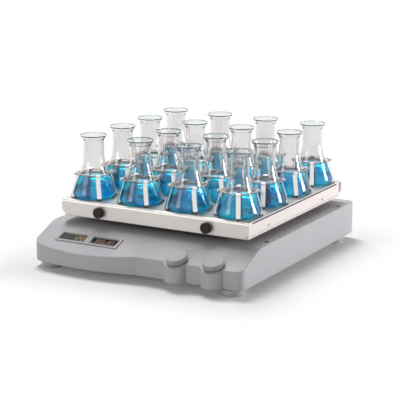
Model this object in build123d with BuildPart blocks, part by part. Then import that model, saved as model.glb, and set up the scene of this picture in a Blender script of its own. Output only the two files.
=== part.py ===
"""Bench orbital shaker with a clamp plate for sixteen conical flasks.

Millimetres. +Z is up, the sloped control panel faces -Y, and the origin lies
under the middle of the shaker, on the surface that its feet stand on.
"""

import os
from math import acos, cos, degrees, radians, sin, tan

from build123d import *

os.makedirs("parts", exist_ok=True)

# Clearances
JOINT_GAP = 0.1
SHAFT_FIT = 0.04
MOVING_GAP = 0.5
TOUCH_GAP = 0.3

# Case
CASE_WIDTH = 370
CASE_DEPTH = 420
CASE_HEIGHT = 52
CASE_WALL = 4
CASE_CORNER = 12
CASE_CORNER_LEFT = 20
CASE_EDGE = 1.6
PANEL_ANGLE = 22
PANEL_RUN = 58
PANEL_BREAK = 60
BULGE_REACH = 13.5
BULGE_END_X = 3
BASE_SHEET = 1.2
BOSS_WALL = 5

# Feet, screws and plugs
FOOT_HEIGHT = 12
FOOT_RADIUS = 19.5
FOOT_TAPER = 2.5
FOOT_NECK_RADIUS = 16
FOOT_NECK_HEIGHT = 1.2
FOOT_EDGE = 2
FOOT_INSET_X = 25
FOOT_INSET_FRONT = 18.5
FOOT_INSET_REAR = 36
SCREW_RADIUS = 2
SCREW_HEAD_RADIUS = 3.8
SCREW_HEAD_HEIGHT = 2
SCREW_BITE = 9
PLUG_RADIUS = 3.75
PLUG_X = 176.5
PLUG_FRONT_INSET = 310
PLUG_REAR_INSET = 48.5

# Control knobs and their push-and-turn encoders
KNOB_RADIUS = 16.5
KNOB_HEIGHT = 7.5
KNOB_WALL = 2.4
KNOB_LIFT = 1.5
KNOB_LEFT_X = 72
KNOB_RIGHT_X = 134.5
KNOB_BACK = 7
KNOB_COLLAR = 3.5
ENCODER_WIDTH = 14
ENCODER_HEIGHT = 7
ENCODER_WHEEL_RADIUS = 5
ENCODER_WHEEL_HEIGHT = 2.5
DIAL_SHAFT_RADIUS = 3
DIAL_FLAT = 1
DIAL_PUSH_ROOM = 1.5

# Displays and control board
WINDOW_WIDTH = 45
WINDOW_HEIGHT = 16
WINDOW_GAP = 12
WINDOW_THICKNESS = 1.2
BEZEL_MARGIN_X = 5.5
BEZEL_MARGIN_Y = 4.7
BEZEL_HEIGHT = 1.6
BEZEL_CORNER = 2
BEZEL_CENTRE_X = -94.5
BEZEL_DOWN = 39
BOARD_THICKNESS = 1.6
BOARD_WIDTH = 300
BOARD_HEIGHT = 41
BOARD_DOWN = 40.5
BOARD_DEPTH = 12
BOARD_POST_RADIUS = 3
BOARD_POST_INSET = 4.5
BOARD_SCREW_RADIUS = 1.2

# Eccentric drive
ORBIT_RADIUS = 5
DRIVE_INSET = 189
MAIN_BORE = 12
MAIN_OUTER = 28
MAIN_WIDTH = 8
MAIN_SPACER = 10
IDLER_BORE = 8
IDLER_OUTER = 22
IDLER_WIDTH = 7
IDLER_SPACER = 6
IDLER_SPACING = 230
CRANK_DISC_RADIUS = 16
IDLER_DISC_RADIUS = 12
BELT_WIDTH = 8
BELT_THICKNESS = 2.4
PULLEY_FLANGE = 1
PULLEY_LIFT = 1.4
CRANK_PULLEY_RADIUS = 60
CRANK_HUB_RADIUS = 16
MOTOR_PULLEY_RADIUS = 12
GROOVE_DEPTH = 0.8
GROOVES = 5
MOTOR_DISTANCE = 108
MOTOR_RADIUS = 27
MOTOR_HEIGHT = 21
MOTOR_SHAFT_RADIUS = 4
MOTOR_POST_CIRCLE = 36
BRACKET_SHEET = 2
WEIGHT_RADIUS = 85
WEIGHT_INNER = 22
WEIGHT_HEIGHT = 6
SHAFT_NUT_RADIUS = 10
SHAFT_NUT_HEIGHT = 3

# Power supply and rear inlet
SUPPLY_LENGTH = 90
SUPPLY_DEPTH = 52
SUPPLY_HEIGHT = 30
SUPPLY_X = 10
INLET_X = -120
INLET_WIDTH = 48
INLET_HEIGHT = 28
INLET_DEPTH = 24
INLET_FLANGE = 1.6
INLET_RIM = 4
SOCKET_WIDTH = 24.4
SOCKET_HEIGHT = 17
SOCKET_DEPTH = 17
ROCKER_WIDTH = 12.4
ROCKER_LENGTH = 19
ROCKER_TILT = 8
ROCKER_DEPTH = 6
ROCKER_AXIS = 2.5

# Carriage and platform
CARRIAGE_LIFT = 4.5
CARRIAGE_SIZE = 290
CARRIAGE_THICKNESS = 6
CARRIAGE_CORNER = 18
SEAT_FLOOR = 1.5
POST_ACROSS = 12
POST_NEAR = 60
POST_FAR = 125
PLATFORM_SIZE = 334
PLATE_TOP = 100.5
SHEET = 1.5
FLANGE_HEIGHT = 25
FLANGE_CORNER = 12
TRAY_INSET = 2.3
TRAY_HEIGHT = 22
TRAY_LIP = 6
TRAY_EDGE = 2.5
SIDE_HOLE_SPACING = 193
SIDE_HOLE_RADIUS = 2.1
SIDE_HOLE_DROP = 18

# Thumb screws that hold the clamp plate to the tray
THUMB_X = 96
THUMB_DROP = 15
THUMB_RADIUS = 2.5
THUMB_HEAD_RADIUS = 8.6
THUMB_HEAD_HEIGHT = 6
THUMB_FLUTES = 24
THUMB_FLUTE_RADIUS = 0.7
THUMB_WASHER_RADIUS = 6.5
THUMB_WASHER_HEIGHT = 1.2
THUMB_INSERT_RADIUS = 5
THUMB_INSERT_LENGTH = 9
THUMB_HOLE_RADIUS = 3.2

# Flasks and their spring clamps
FLASK_PITCH = 86.5
FLASK_HEIGHT = 99
FLASK_CONE_RADIUS = 36.8
FLASK_HEEL = 6
FLASK_NECK_RADIUS = 15
FLASK_SHOULDER_HEIGHT = 60
FLASK_SHOULDER_BEND = 105
FLASK_LIP_START = 91
FLASK_LIP_BEND = 8
FLASK_RIM_RADIUS = 20.5
FLASK_WALL = 1.7
FLASK_FLOOR = 2.4
LIQUID_DEPTH = 35
CLAMP_SHEET = 0.9
CLAMP_WIDTH = 7
CLAMP_HUB_RADIUS = 13
CLAMP_FOOT_RADIUS = 38
CLAMP_TOP_RADIUS = 26.2
CLAMP_HEIGHT = 40.5
CLAMP_BEND = 2.2
HOOK_REACH = 6
HOOK_DROP = 3
SPRING_HEIGHT = 38.3
SPRING_RADIUS = 1.4
SPRING_CORNER = 10
SPRING_REACH = 19.9
LAST_COLUMN_TURNS = (27, 23, 45, 25)

# Heights, places and planes that follow from the sizes
rocker_sin = sin(radians(ROCKER_TILT))
rocker_cos = cos(radians(ROCKER_TILT))
rocker_lift = ROCKER_LENGTH * rocker_sin - ROCKER_AXIS * (1 - rocker_cos)
inlet_reach = INLET_FLANGE + rocker_lift
rear_y = (CASE_DEPTH - inlet_reach) / 2
front_y = rear_y - CASE_DEPTH + BULGE_REACH
break_y = front_y + PANEL_RUN
drive_y = rear_y - DRIVE_INSET
case_bottom = FOOT_HEIGHT
case_top = case_bottom + CASE_HEIGHT
roof_under = case_top - CASE_WALL
floor_top = case_bottom + BASE_SHEET
panel_sin = sin(radians(PANEL_ANGLE))
panel_cos = cos(radians(PANEL_ANGLE))
panel = Plane(origin=(0, break_y, case_top), x_dir=(1, 0, 0), z_dir=(0, -panel_sin, panel_cos))
knob_y = front_y + KNOB_BACK
knob_down = (break_y - knob_y) / panel_cos
knob_places = {"speed": KNOB_LEFT_X, "timer": KNOB_RIGHT_X}
foot_places = [
    (x * (CASE_WIDTH / 2 - FOOT_INSET_X), y)
    for x in (-1, 1)
    for y in (front_y + FOOT_INSET_FRONT, rear_y - FOOT_INSET_REAR)
]
case_screw_x = CASE_WIDTH / 2 - CASE_WALL - BOSS_WALL - 1
case_screw_places = [(x * case_screw_x, y) for x in (-1, 1) for y in (break_y, 40, rear_y - 13)]
plug_places = [
    (x * PLUG_X, rear_y - inset) for x in (-1, 1) for inset in (PLUG_FRONT_INSET, PLUG_REAR_INSET)
]
idler_places = [
    (x * IDLER_SPACING / 2, drive_y + y * IDLER_SPACING / 2) for y in (-1, 1) for x in (-1, 1)
]
main_boss_bottom = roof_under - 2 * MAIN_WIDTH - MAIN_SPACER
idler_boss_bottom = roof_under - 2 * IDLER_WIDTH - IDLER_SPACER
disc_bottom = case_top + 0.75
carriage_bottom = case_top + CARRIAGE_LIFT
carriage_top = carriage_bottom + CARRIAGE_THICKNESS
disc_top = carriage_bottom - 0.75
seat_bottom = carriage_bottom + SEAT_FLOOR
platform_y = drive_y + ORBIT_RADIUS
plate_under = PLATE_TOP - SHEET
tray_under = plate_under - SHEET
tray_bottom = plate_under - TRAY_HEIGHT
tray_half = PLATFORM_SIZE / 2 - TRAY_INSET
flange_bend = TRAY_EDGE + TOUCH_GAP + SHEET
post_places = [
    (x, platform_y + y)
    for x, y in [(a * POST_FAR, b * POST_NEAR) for a in (-1, 1) for b in (-1, 1)]
    + [(a * POST_NEAR, b * POST_FAR) for a in (-1, 1) for b in (-1, 1)]
]
pulley_bottom = floor_top + PULLEY_LIFT
groove_bottom = pulley_bottom + PULLEY_FLANGE
groove_width = BELT_WIDTH + 2 * MOVING_GAP
pulley_top = groove_bottom + groove_width + PULLEY_FLANGE
weight_top = pulley_top + WEIGHT_HEIGHT
motor_bottom = weight_top + 2 * MOVING_GAP
motor_top = motor_bottom + MOTOR_HEIGHT
flask_floor = PLATE_TOP + CLAMP_SHEET
flask_places = [
    [((column - 1.5) * FLASK_PITCH, platform_y + (row - 1.5) * FLASK_PITCH) for column in range(4)]
    for row in range(4)
]
thumb_z = PLATE_TOP - THUMB_DROP
thumb_places = [(x * THUMB_X, side) for side in (-1, 1) for x in (-1, 1)]
inlet_z = case_bottom + CASE_HEIGHT / 2 - 2


def case_outline(inset=0):
    """Plan of the case: a bowed front with one round lobe for each knob."""
    half = CASE_WIDTH / 2
    with BuildSketch() as outline:
        with BuildLine():
            Line((BULGE_END_X, front_y), (half, front_y))
            Line((half, front_y), (half, rear_y))
            Line((half, rear_y), (-half, rear_y))
            Line((-half, rear_y), (-half, front_y))
            ThreePointArc(
                (-half, front_y),
                ((BULGE_END_X - half) / 2, front_y - BULGE_REACH),
                (BULGE_END_X, front_y),
            )
        make_face()
        corners = outline.vertices().filter_by(lambda corner: abs(abs(corner.X) - half) < 0.01)
        left_front = corners.filter_by(lambda corner: corner.X < 0 and corner.Y < 0)
        fillet(left_front, CASE_CORNER_LEFT)
        corners = outline.vertices().filter_by(
            lambda corner: abs(abs(corner.X) - half) < 0.01 and (corner.X > 0 or corner.Y > 0)
        )
        fillet(corners, CASE_CORNER)
        with Locations([(x, knob_y) for x in knob_places.values()]):
            Circle(KNOB_RADIUS + KNOB_COLLAR)
        if inset:
            offset(amount=-inset)
    return outline.sketch


def case_body(inset=0):
    """The closed outer form of the case, or the same form a wall further in."""
    with BuildPart() as body:
        with BuildSketch(Plane.XY.offset(case_bottom)):
            add(case_outline(inset))
        extrude(amount=CASE_HEIGHT - inset)
        with BuildSketch(panel.offset(-inset)):
            with Locations((0, -PANEL_RUN)):
                Rectangle(CASE_WIDTH + 2, 2 * PANEL_RUN)
        extrude(amount=CASE_HEIGHT, mode=Mode.SUBTRACT)
    return body.part


def belt_line(big_radius, small_radius, distance):
    """Closed line round a circle at the origin and a smaller one out on +X."""
    lead = degrees(acos((big_radius - small_radius) / distance))
    with BuildLine() as path:
        big = CenterArc((0, 0), big_radius, lead, 360 - 2 * lead)
        small = CenterArc((distance, 0), small_radius, -lead, 2 * lead)
        Line(big @ 1, small @ 0)
        Line(small @ 1, big @ 0)
    return path.line


def bearing(bore, outer, width):
    """Sealed ball bearing drawn as one ring, with its seals set back."""
    race = (outer - bore) / 2 * 0.28
    recess = 0.4
    with BuildPart() as body:
        with BuildSketch():
            Circle(outer / 2 - JOINT_GAP / 4)
            Circle(bore / 2 + SHAFT_FIT, mode=Mode.SUBTRACT)
        extrude(amount=width)
        with BuildSketch(Plane.XY, Plane.XY.offset(width - recess)):
            Circle(outer / 2 - race)
            Circle(bore / 2 + race, mode=Mode.SUBTRACT)
        extrude(amount=recess, mode=Mode.SUBTRACT)
    return body.part


def screw(length, radius=SCREW_RADIUS, head_radius=SCREW_HEAD_RADIUS, head_height=SCREW_HEAD_HEIGHT):
    """Pan-head screw: the head above z = 0 with a hex recess, the shank below."""
    with BuildPart() as body:
        with BuildSketch():
            Circle(head_radius)
        extrude(amount=head_height)
        fillet(body.edges().group_by(Axis.Z)[-1], head_height * 0.4)
        with BuildSketch(Plane.XY.offset(head_height)):
            RegularPolygon(head_radius * 0.45, 6)
        extrude(amount=-head_height * 0.6, mode=Mode.SUBTRACT)
        with BuildSketch():
            Circle(radius)
        extrude(amount=-length)
    return body.part


def flat_screw(length):
    """Countersunk screw with its flat head at z = 0 and its shank below."""
    head = SCREW_RADIUS + SHEET - JOINT_GAP
    shank = SCREW_RADIUS - JOINT_GAP
    with BuildPart() as body:
        with BuildSketch(Plane.XZ):
            with BuildLine():
                Polyline((0, 0), (head, 0), (shank, -SHEET), (shank, -length), (0, -length), close=True)
            make_face()
        revolve(axis=Axis.Z)
        with BuildSketch():
            RegularPolygon(1.5, 6)
        extrude(amount=-1, mode=Mode.SUBTRACT)
    return body.part


def pulley(radius, bore, bottom):
    """Ribbed belt pulley with a flange on each side of its grooves."""
    groove_step = groove_width / GROOVES
    with BuildPart() as body:
        with BuildSketch(Plane.XZ):
            with BuildLine():
                low = groove_bottom - bottom
                high = low + groove_width
                edge = [(bore, 0), (radius + PULLEY_FLANGE, 0), (radius + PULLEY_FLANGE, low), (radius, low)]
                for groove in range(GROOVES):
                    middle = low + (groove + 0.5) * groove_step
                    edge += [(radius - GROOVE_DEPTH, middle), (radius, middle + groove_step / 2)]
                edge += [(radius + PULLEY_FLANGE, high), (radius + PULLEY_FLANGE, pulley_top - bottom)]
                edge += [(bore, pulley_top - bottom)]
                Polyline(edge, close=True)
            make_face()
        revolve(axis=Axis.Z)
    return body.part


def eccentric(journal, disc_radius, bottom, spacer_bottom, spacer_top, pin_top):
    """Vertical shaft with a spacer collar, a disc and an eccentric pin on top."""
    with BuildPart() as body:
        with BuildSketch(Plane.XY.offset(bottom)):
            Circle(journal)
        extrude(amount=disc_bottom - bottom)
        with BuildSketch(Plane.XY.offset(spacer_bottom)):
            Circle(journal + 2)
        extrude(amount=spacer_top - spacer_bottom)
        with BuildSketch(Plane.XY.offset(disc_bottom)):
            with Locations((0, ORBIT_RADIUS / 2)):
                Circle(disc_radius)
        extrude(amount=disc_top - disc_bottom)
        with BuildSketch(Plane.XY.offset(disc_top)):
            with Locations((0, ORBIT_RADIUS)):
                Circle(journal)
        extrude(amount=pin_top - disc_top)
        chamfer(body.edges().group_by(Axis.Z)[-1], 0.6)
    return body.part


def flask_line(inset, bottom, top):
    """Half outline of a flask, from the axis under its floor to the axis over its rim."""
    slope = (FLASK_CONE_RADIUS - FLASK_NECK_RADIUS) / FLASK_SHOULDER_HEIGHT
    reach = (FLASK_RIM_RADIUS - FLASK_NECK_RADIUS) / (FLASK_HEIGHT - FLASK_LIP_START)
    side_inset = inset * (1 + slope**2) ** 0.5
    start = (FLASK_CONE_RADIUS - side_inset - slope * bottom, bottom)
    neck = FLASK_NECK_RADIUS - inset
    shoulder = (neck, FLASK_SHOULDER_HEIGHT - (side_inset - inset) / slope)
    lip = (neck, FLASK_LIP_START)
    rim = (neck + reach * (top - FLASK_LIP_START), top)
    with BuildLine() as line:
        half = FilletPolyline(
            (0, bottom), start, shoulder, lip, rim,
            radius=[FLASK_HEEL - inset, FLASK_SHOULDER_BEND, FLASK_LIP_BEND],
        )
        Line(half @ 1, (0, top))
        Line((0, top), half @ 0)
    return line.line


def flask_solid(inset, bottom, top):
    """Solid of revolution inside one flask outline."""
    with BuildPart() as body:
        with BuildSketch(Plane.XZ):
            add(flask_line(inset, bottom, top))
            make_face()
        revolve(axis=Axis.Z)
    return body.part


def thumb_plane(x, side, reach):
    """Plane across one thumb screw, facing outward, at a reach from the platform middle."""
    return Plane(origin=(x, platform_y + side * reach, thumb_z), x_dir=(side, 0, 0), z_dir=(0, side, 0))


def save(part, name):
    """Label one finished piece and write its file."""
    part.label = name
    export_step(part, f"parts/{name}.step")


# Bosses under the roof and posts under the panel, trimmed to the inside of the walls
main_boss_radius = MAIN_OUTER / 2 + BOSS_WALL
idler_boss_radius = IDLER_OUTER / 2 + BOSS_WALL
board_posts = [
    (x, y - BOARD_DOWN)
    for x in (BOARD_POST_INSET - BOARD_WIDTH / 2, 0, BOARD_WIDTH / 2 - BOARD_POST_INSET)
    for y in (BOARD_POST_INSET - BOARD_HEIGHT / 2, BOARD_HEIGHT / 2 - BOARD_POST_INSET)
]
motor_posts = [
    (
        MOTOR_POST_CIRCLE * cos(radians(angle)) - MOTOR_DISTANCE,
        MOTOR_POST_CIRCLE * sin(radians(angle)) + drive_y,
    )
    for angle in (60, 180, 300)
]
with BuildPart() as bosses:
    with BuildSketch(Plane.XY.offset(main_boss_bottom)):
        with Locations((0, drive_y)):
            Circle(main_boss_radius)
            with PolarLocations(main_boss_radius + 6, 6):
                Rectangle(16, 3)
    extrude(amount=case_top - main_boss_bottom)
    with BuildSketch(Plane.XY.offset(idler_boss_bottom)):
        with Locations(idler_places):
            Circle(idler_boss_radius)
    extrude(amount=case_top - idler_boss_bottom)
    with BuildSketch(Plane.XY.offset(floor_top)):
        with Locations(foot_places + case_screw_places):
            Circle(SCREW_RADIUS + BOSS_WALL)
    extrude(amount=case_top - floor_top)
    with BuildSketch(Plane.XY.offset(motor_top + BRACKET_SHEET)):
        with Locations(motor_posts):
            Circle(SCREW_RADIUS + BOSS_WALL / 2)
    extrude(amount=case_top - motor_top - BRACKET_SHEET)
    with BuildSketch(panel.offset(-BOARD_DEPTH)):
        with Locations(board_posts):
            Circle(BOARD_POST_RADIUS)
    extrude(amount=BOARD_DEPTH)
    add(case_body(CASE_WALL / 2), mode=Mode.INTERSECT)

# Case housing: one cast shell, open below
windows_width = 2 * WINDOW_WIDTH + WINDOW_GAP
inlet_opening = JOINT_GAP * 2
with BuildPart() as base_housing:
    add(case_body())
    roof_edge = (
        base_housing.edges()
        .filter_by(Axis.X)
        .filter_by(lambda edge: abs(edge.center().Z - case_top) < 0.01)
        .sort_by(Axis.Y)[0]
    )
    fillet(roof_edge, PANEL_BREAK)
    wall_edges = base_housing.faces().filter_by(lambda face: abs(face.normal_at().Z) < 0.01).edges()
    upper_edges = base_housing.faces().filter_by(lambda face: face.normal_at().Z > 0.5).edges()
    fillet(upper_edges.filter_by(lambda edge: edge in wall_edges), CASE_EDGE)
    add(case_body(CASE_WALL), mode=Mode.SUBTRACT)
    add(bosses.part)
    with BuildSketch(Plane.XY.offset(main_boss_bottom)):
        with Locations((0, drive_y)):
            Circle(MAIN_OUTER / 2)
    extrude(amount=roof_under - main_boss_bottom, mode=Mode.SUBTRACT)
    with BuildSketch(Plane.XY.offset(idler_boss_bottom)):
        with Locations(idler_places):
            Circle(IDLER_OUTER / 2)
    extrude(amount=roof_under - idler_boss_bottom, mode=Mode.SUBTRACT)
    with BuildSketch(Plane.XY.offset(roof_under)):
        with Locations((0, drive_y)):
            Circle(MAIN_OUTER / 2 - 3)
        with Locations(idler_places):
            Circle(IDLER_OUTER / 2 - 3)
    extrude(amount=CASE_WALL, mode=Mode.SUBTRACT)
    with BuildSketch(Plane.XY.offset(floor_top)):
        with Locations(foot_places + case_screw_places):
            Circle(SCREW_RADIUS + JOINT_GAP)
    extrude(amount=SCREW_BITE + 1, mode=Mode.SUBTRACT)
    with BuildSketch(Plane.XY.offset(motor_top + BRACKET_SHEET)):
        with Locations(motor_posts):
            Circle(SCREW_RADIUS + JOINT_GAP)
    extrude(amount=CASE_WALL, mode=Mode.SUBTRACT)
    with BuildSketch(Plane.XY.offset(case_top)):
        with Locations(plug_places):
            Circle(PLUG_RADIUS - 1)
    extrude(amount=-2, mode=Mode.SUBTRACT)
    with BuildSketch(panel.offset(-BOARD_DEPTH)):
        with Locations(board_posts):
            Circle(BOARD_SCREW_RADIUS + JOINT_GAP)
    extrude(amount=BOARD_DEPTH - CASE_WALL, mode=Mode.SUBTRACT)
    with BuildSketch(panel):
        with Locations((BEZEL_CENTRE_X, -BEZEL_DOWN)):
            Rectangle(windows_width + 2, WINDOW_HEIGHT + 2)
        with Locations([(x, -knob_down) for x in knob_places.values()]):
            Circle(DIAL_SHAFT_RADIUS + MOVING_GAP)
    extrude(amount=-2 * CASE_WALL, mode=Mode.SUBTRACT)
    with BuildSketch(Plane.XZ.offset(-rear_y)):
        with Locations((INLET_X, inlet_z)):
            Rectangle(INLET_WIDTH + inlet_opening, INLET_HEIGHT + inlet_opening)
    extrude(amount=2 * CASE_WALL, mode=Mode.SUBTRACT)
save(base_housing.part, "base_housing")

# Bottom plate with vent slots under the motor and the power supply
plate_inset = CASE_WALL + MOVING_GAP
vent_length = 36
vent_width = 3
vent_pitch = 9
with BuildPart() as base_plate:
    with BuildSketch(Plane.XY.offset(case_bottom)):
        add(case_outline(plate_inset))
        with Locations(foot_places + case_screw_places):
            Circle(SCREW_RADIUS + 2 * JOINT_GAP, mode=Mode.SUBTRACT)
        with Locations((-MOTOR_DISTANCE, drive_y), (SUPPLY_X, rear_y - 60)):
            with GridLocations(vent_pitch, vent_length + 6, 6, 1):
                SlotOverall(vent_length, vent_width, rotation=90, mode=Mode.SUBTRACT)
    extrude(amount=BASE_SHEET)
save(base_plate.part, "base_plate")

# Feet: tapered rubber pads with a neck under the case, each on one screw
foot_pocket = FOOT_HEIGHT - FOOT_NECK_HEIGHT - 5
with BuildPart() as foot:
    with BuildSketch():
        Circle(FOOT_RADIUS - FOOT_TAPER)
    with BuildSketch(Plane.XY.offset(FOOT_HEIGHT - FOOT_NECK_HEIGHT)):
        Circle(FOOT_RADIUS)
    loft()
    fillet(foot.edges().group_by(Axis.Z)[0], FOOT_EDGE)
    with BuildSketch(Plane.XY.offset(FOOT_HEIGHT - FOOT_NECK_HEIGHT)):
        Circle(FOOT_NECK_RADIUS)
    extrude(amount=FOOT_NECK_HEIGHT)
    with BuildSketch():
        Circle(SCREW_HEAD_RADIUS + 1)
    extrude(amount=foot_pocket, mode=Mode.SUBTRACT)
    with BuildSketch():
        Circle(SCREW_RADIUS + 2 * JOINT_GAP)
    extrude(amount=FOOT_HEIGHT, mode=Mode.SUBTRACT)
with BuildPart() as feet:
    with Locations(foot_places):
        add(foot.part)
save(feet.part, "feet")

# Screws of the case: bottom plate, feet, motor bracket and control board
screw_up = Location((0, 0, 0), (180, 0, 0))
under_board = panel.offset(-BOARD_DEPTH - BOARD_THICKNESS)
with BuildPart() as base_screws:
    with Locations([Location((x, y, case_bottom)) * screw_up for x, y in case_screw_places]):
        add(screw(SCREW_BITE + BASE_SHEET))
    with Locations([Location((x, y, foot_pocket)) * screw_up for x, y in foot_places]):
        add(screw(FOOT_HEIGHT - foot_pocket + BASE_SHEET + SCREW_BITE - 1))
    with Locations([Location((x, y, motor_top)) * screw_up for x, y in motor_posts]):
        add(screw(BRACKET_SHEET + CASE_WALL - 1))
    with Locations([under_board.location * Location((x, y, 0)) * screw_up for x, y in board_posts]):
        add(screw(BOARD_THICKNESS + BOARD_DEPTH - CASE_WALL - 1, BOARD_SCREW_RADIUS, 2.4, 1.4))
save(base_screws.part, "base_screws")

# Plugs over the four corner holes in the roof
with BuildPart() as plug:
    with BuildSketch():
        Circle(PLUG_RADIUS)
    extrude(amount=1)
    fillet(plug.edges().group_by(Axis.Z)[-1], 0.7)
    with BuildSketch():
        Circle(PLUG_RADIUS - 1 - JOINT_GAP)
    extrude(amount=-1.6)
with BuildPart() as roof_plugs:
    with Locations([(x, y, case_top) for x, y in plug_places]):
        add(plug.part)
save(roof_plugs.part, "roof_plugs")

# Display bezel, its two windows and the display modules behind them
window_centres = [
    (BEZEL_CENTRE_X + side * (WINDOW_WIDTH + WINDOW_GAP) / 2, -BEZEL_DOWN) for side in (-1, 1)
]
bezel_width = windows_width + 2 * BEZEL_MARGIN_X
bezel_height = WINDOW_HEIGHT + 2 * BEZEL_MARGIN_Y
with BuildPart() as display_bezel:
    with BuildSketch(panel):
        with Locations((BEZEL_CENTRE_X, -BEZEL_DOWN)):
            RectangleRounded(bezel_width, bezel_height, BEZEL_CORNER)
    extrude(amount=BEZEL_HEIGHT)
    chamfer(display_bezel.faces().sort_by(Axis((0, 0, 0), panel.z_dir))[-1].edges(), 0.6)
    for centre in window_centres:
        with BuildSketch(panel):
            with Locations(centre):
                Rectangle(WINDOW_WIDTH, WINDOW_HEIGHT)
        with BuildSketch(panel.offset(BEZEL_HEIGHT)):
            with Locations(centre):
                Rectangle(WINDOW_WIDTH + 1.6, WINDOW_HEIGHT + 1.6)
        loft(mode=Mode.SUBTRACT)
save(display_bezel.part, "display_bezel")

with BuildPart() as display_windows:
    with BuildSketch(panel):
        with Locations(window_centres):
            Rectangle(WINDOW_WIDTH - JOINT_GAP, WINDOW_HEIGHT - JOINT_GAP)
    extrude(amount=-WINDOW_THICKNESS)
save(display_windows.part, "display_windows")

with BuildPart() as display_modules:
    with BuildSketch(panel.offset(-WINDOW_THICKNESS)):
        with Locations(window_centres):
            Rectangle(WINDOW_WIDTH - 1, WINDOW_HEIGHT - 1)
    extrude(amount=WINDOW_THICKNESS - BOARD_DEPTH)
save(display_modules.part, "display_modules")

# Control board under the panel, held by six screws in the housing posts
with BuildPart() as control_board:
    with BuildSketch(panel.offset(-BOARD_DEPTH)):
        with Locations((0, -BOARD_DOWN)):
            RectangleRounded(BOARD_WIDTH, BOARD_HEIGHT, 3)
        with Locations(board_posts):
            Circle(BOARD_SCREW_RADIUS + JOINT_GAP, mode=Mode.SUBTRACT)
        with Locations([(x, -knob_down) for x in knob_places.values()]):
            Circle(DIAL_SHAFT_RADIUS + MOVING_GAP, mode=Mode.SUBTRACT)
    extrude(amount=-BOARD_THICKNESS)
save(control_board.part, "control_board")

# Push-and-turn encoders: a body on the board, a wheel that turns in it, and a
# shaft that turns the wheel and slides through it when the knob is pushed
wheel_bottom = -BOARD_DEPTH + (ENCODER_HEIGHT - ENCODER_WHEEL_HEIGHT) / 2
shaft_bottom = -BOARD_DEPTH
shaft_top = KNOB_LIFT + KNOB_HEIGHT - KNOB_WALL
for name, knob_x in knob_places.items():
    centre = (knob_x, -knob_down)
    with BuildPart() as encoder:
        with BuildSketch(panel.offset(-BOARD_DEPTH)):
            with Locations(centre):
                RectangleRounded(ENCODER_WIDTH, ENCODER_WIDTH, 1)
        extrude(amount=ENCODER_HEIGHT)
        with BuildSketch(panel.offset(wheel_bottom - MOVING_GAP)):
            with Locations(centre):
                Circle(ENCODER_WHEEL_RADIUS + MOVING_GAP)
        extrude(amount=ENCODER_WHEEL_HEIGHT + 2 * MOVING_GAP, mode=Mode.SUBTRACT)
        with BuildSketch(panel.offset(-BOARD_DEPTH)):
            with Locations(centre):
                Circle(DIAL_SHAFT_RADIUS + MOVING_GAP)
        extrude(amount=ENCODER_HEIGHT, mode=Mode.SUBTRACT)
    save(encoder.part, f"{name}_encoder")

    with BuildPart() as wheel:
        with BuildSketch(panel.offset(wheel_bottom)):
            with Locations(centre):
                Circle(ENCODER_WHEEL_RADIUS)
                Circle(DIAL_SHAFT_RADIUS + SHAFT_FIT, mode=Mode.SUBTRACT)
        extrude(amount=ENCODER_WHEEL_HEIGHT)
        with BuildSketch(panel.offset(wheel_bottom)):
            with Locations(centre):
                with PolarLocations(ENCODER_WHEEL_RADIUS, 20):
                    Circle(0.35)
        extrude(amount=ENCODER_WHEEL_HEIGHT, mode=Mode.SUBTRACT)
    save(wheel.part, f"{name}_encoder_wheel")

    with BuildPart() as dial_shaft:
        with BuildSketch(panel.offset(shaft_bottom)):
            with Locations(centre):
                Circle(DIAL_SHAFT_RADIUS)
        extrude(amount=shaft_top - shaft_bottom)
        with BuildSketch(panel.offset(KNOB_LIFT)):
            with Locations((knob_x, -knob_down + 2 * DIAL_SHAFT_RADIUS - DIAL_FLAT)):
                Rectangle(2 * DIAL_SHAFT_RADIUS, 2 * DIAL_SHAFT_RADIUS)
        extrude(amount=shaft_top - KNOB_LIFT, mode=Mode.SUBTRACT)
    save(dial_shaft.part, f"{name}_dial_shaft")

    with BuildPart() as knob:
        with BuildSketch(panel.offset(KNOB_LIFT)):
            with Locations(centre):
                Circle(KNOB_RADIUS)
        extrude(amount=KNOB_HEIGHT, taper=1.5)
        fillet(knob.edges().group_by(Axis((0, 0, 0), panel.z_dir))[-1], 1)
        with BuildSketch(panel.offset(KNOB_LIFT)):
            with Locations(centre):
                Circle(KNOB_RADIUS - KNOB_WALL)
                Circle(DIAL_SHAFT_RADIUS + KNOB_WALL, mode=Mode.SUBTRACT)
        extrude(amount=KNOB_HEIGHT - KNOB_WALL, mode=Mode.SUBTRACT)
        with BuildSketch(panel.offset(KNOB_LIFT)):
            with Locations(centre):
                Circle(DIAL_SHAFT_RADIUS + JOINT_GAP / 4)
        extrude(amount=KNOB_HEIGHT - KNOB_WALL, mode=Mode.SUBTRACT)
    save(knob.part, f"{name}_knob")

# Bearings in the case: a pair for the crank and a pair for each idler
with BuildPart() as crank_bearings:
    upper_bearing = roof_under - MAIN_WIDTH
    with Locations([(0, drive_y, z) for z in (main_boss_bottom, upper_bearing)]):
        add(bearing(MAIN_BORE, MAIN_OUTER, MAIN_WIDTH))
save(crank_bearings.part, "crank_bearings")

with BuildPart() as idler_bearings:
    upper_bearing = roof_under - IDLER_WIDTH
    with Locations([(x, y, z) for x, y in idler_places for z in (idler_boss_bottom, upper_bearing)]):
        add(bearing(IDLER_BORE, IDLER_OUTER, IDLER_WIDTH))
save(idler_bearings.part, "idler_bearings")

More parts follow.
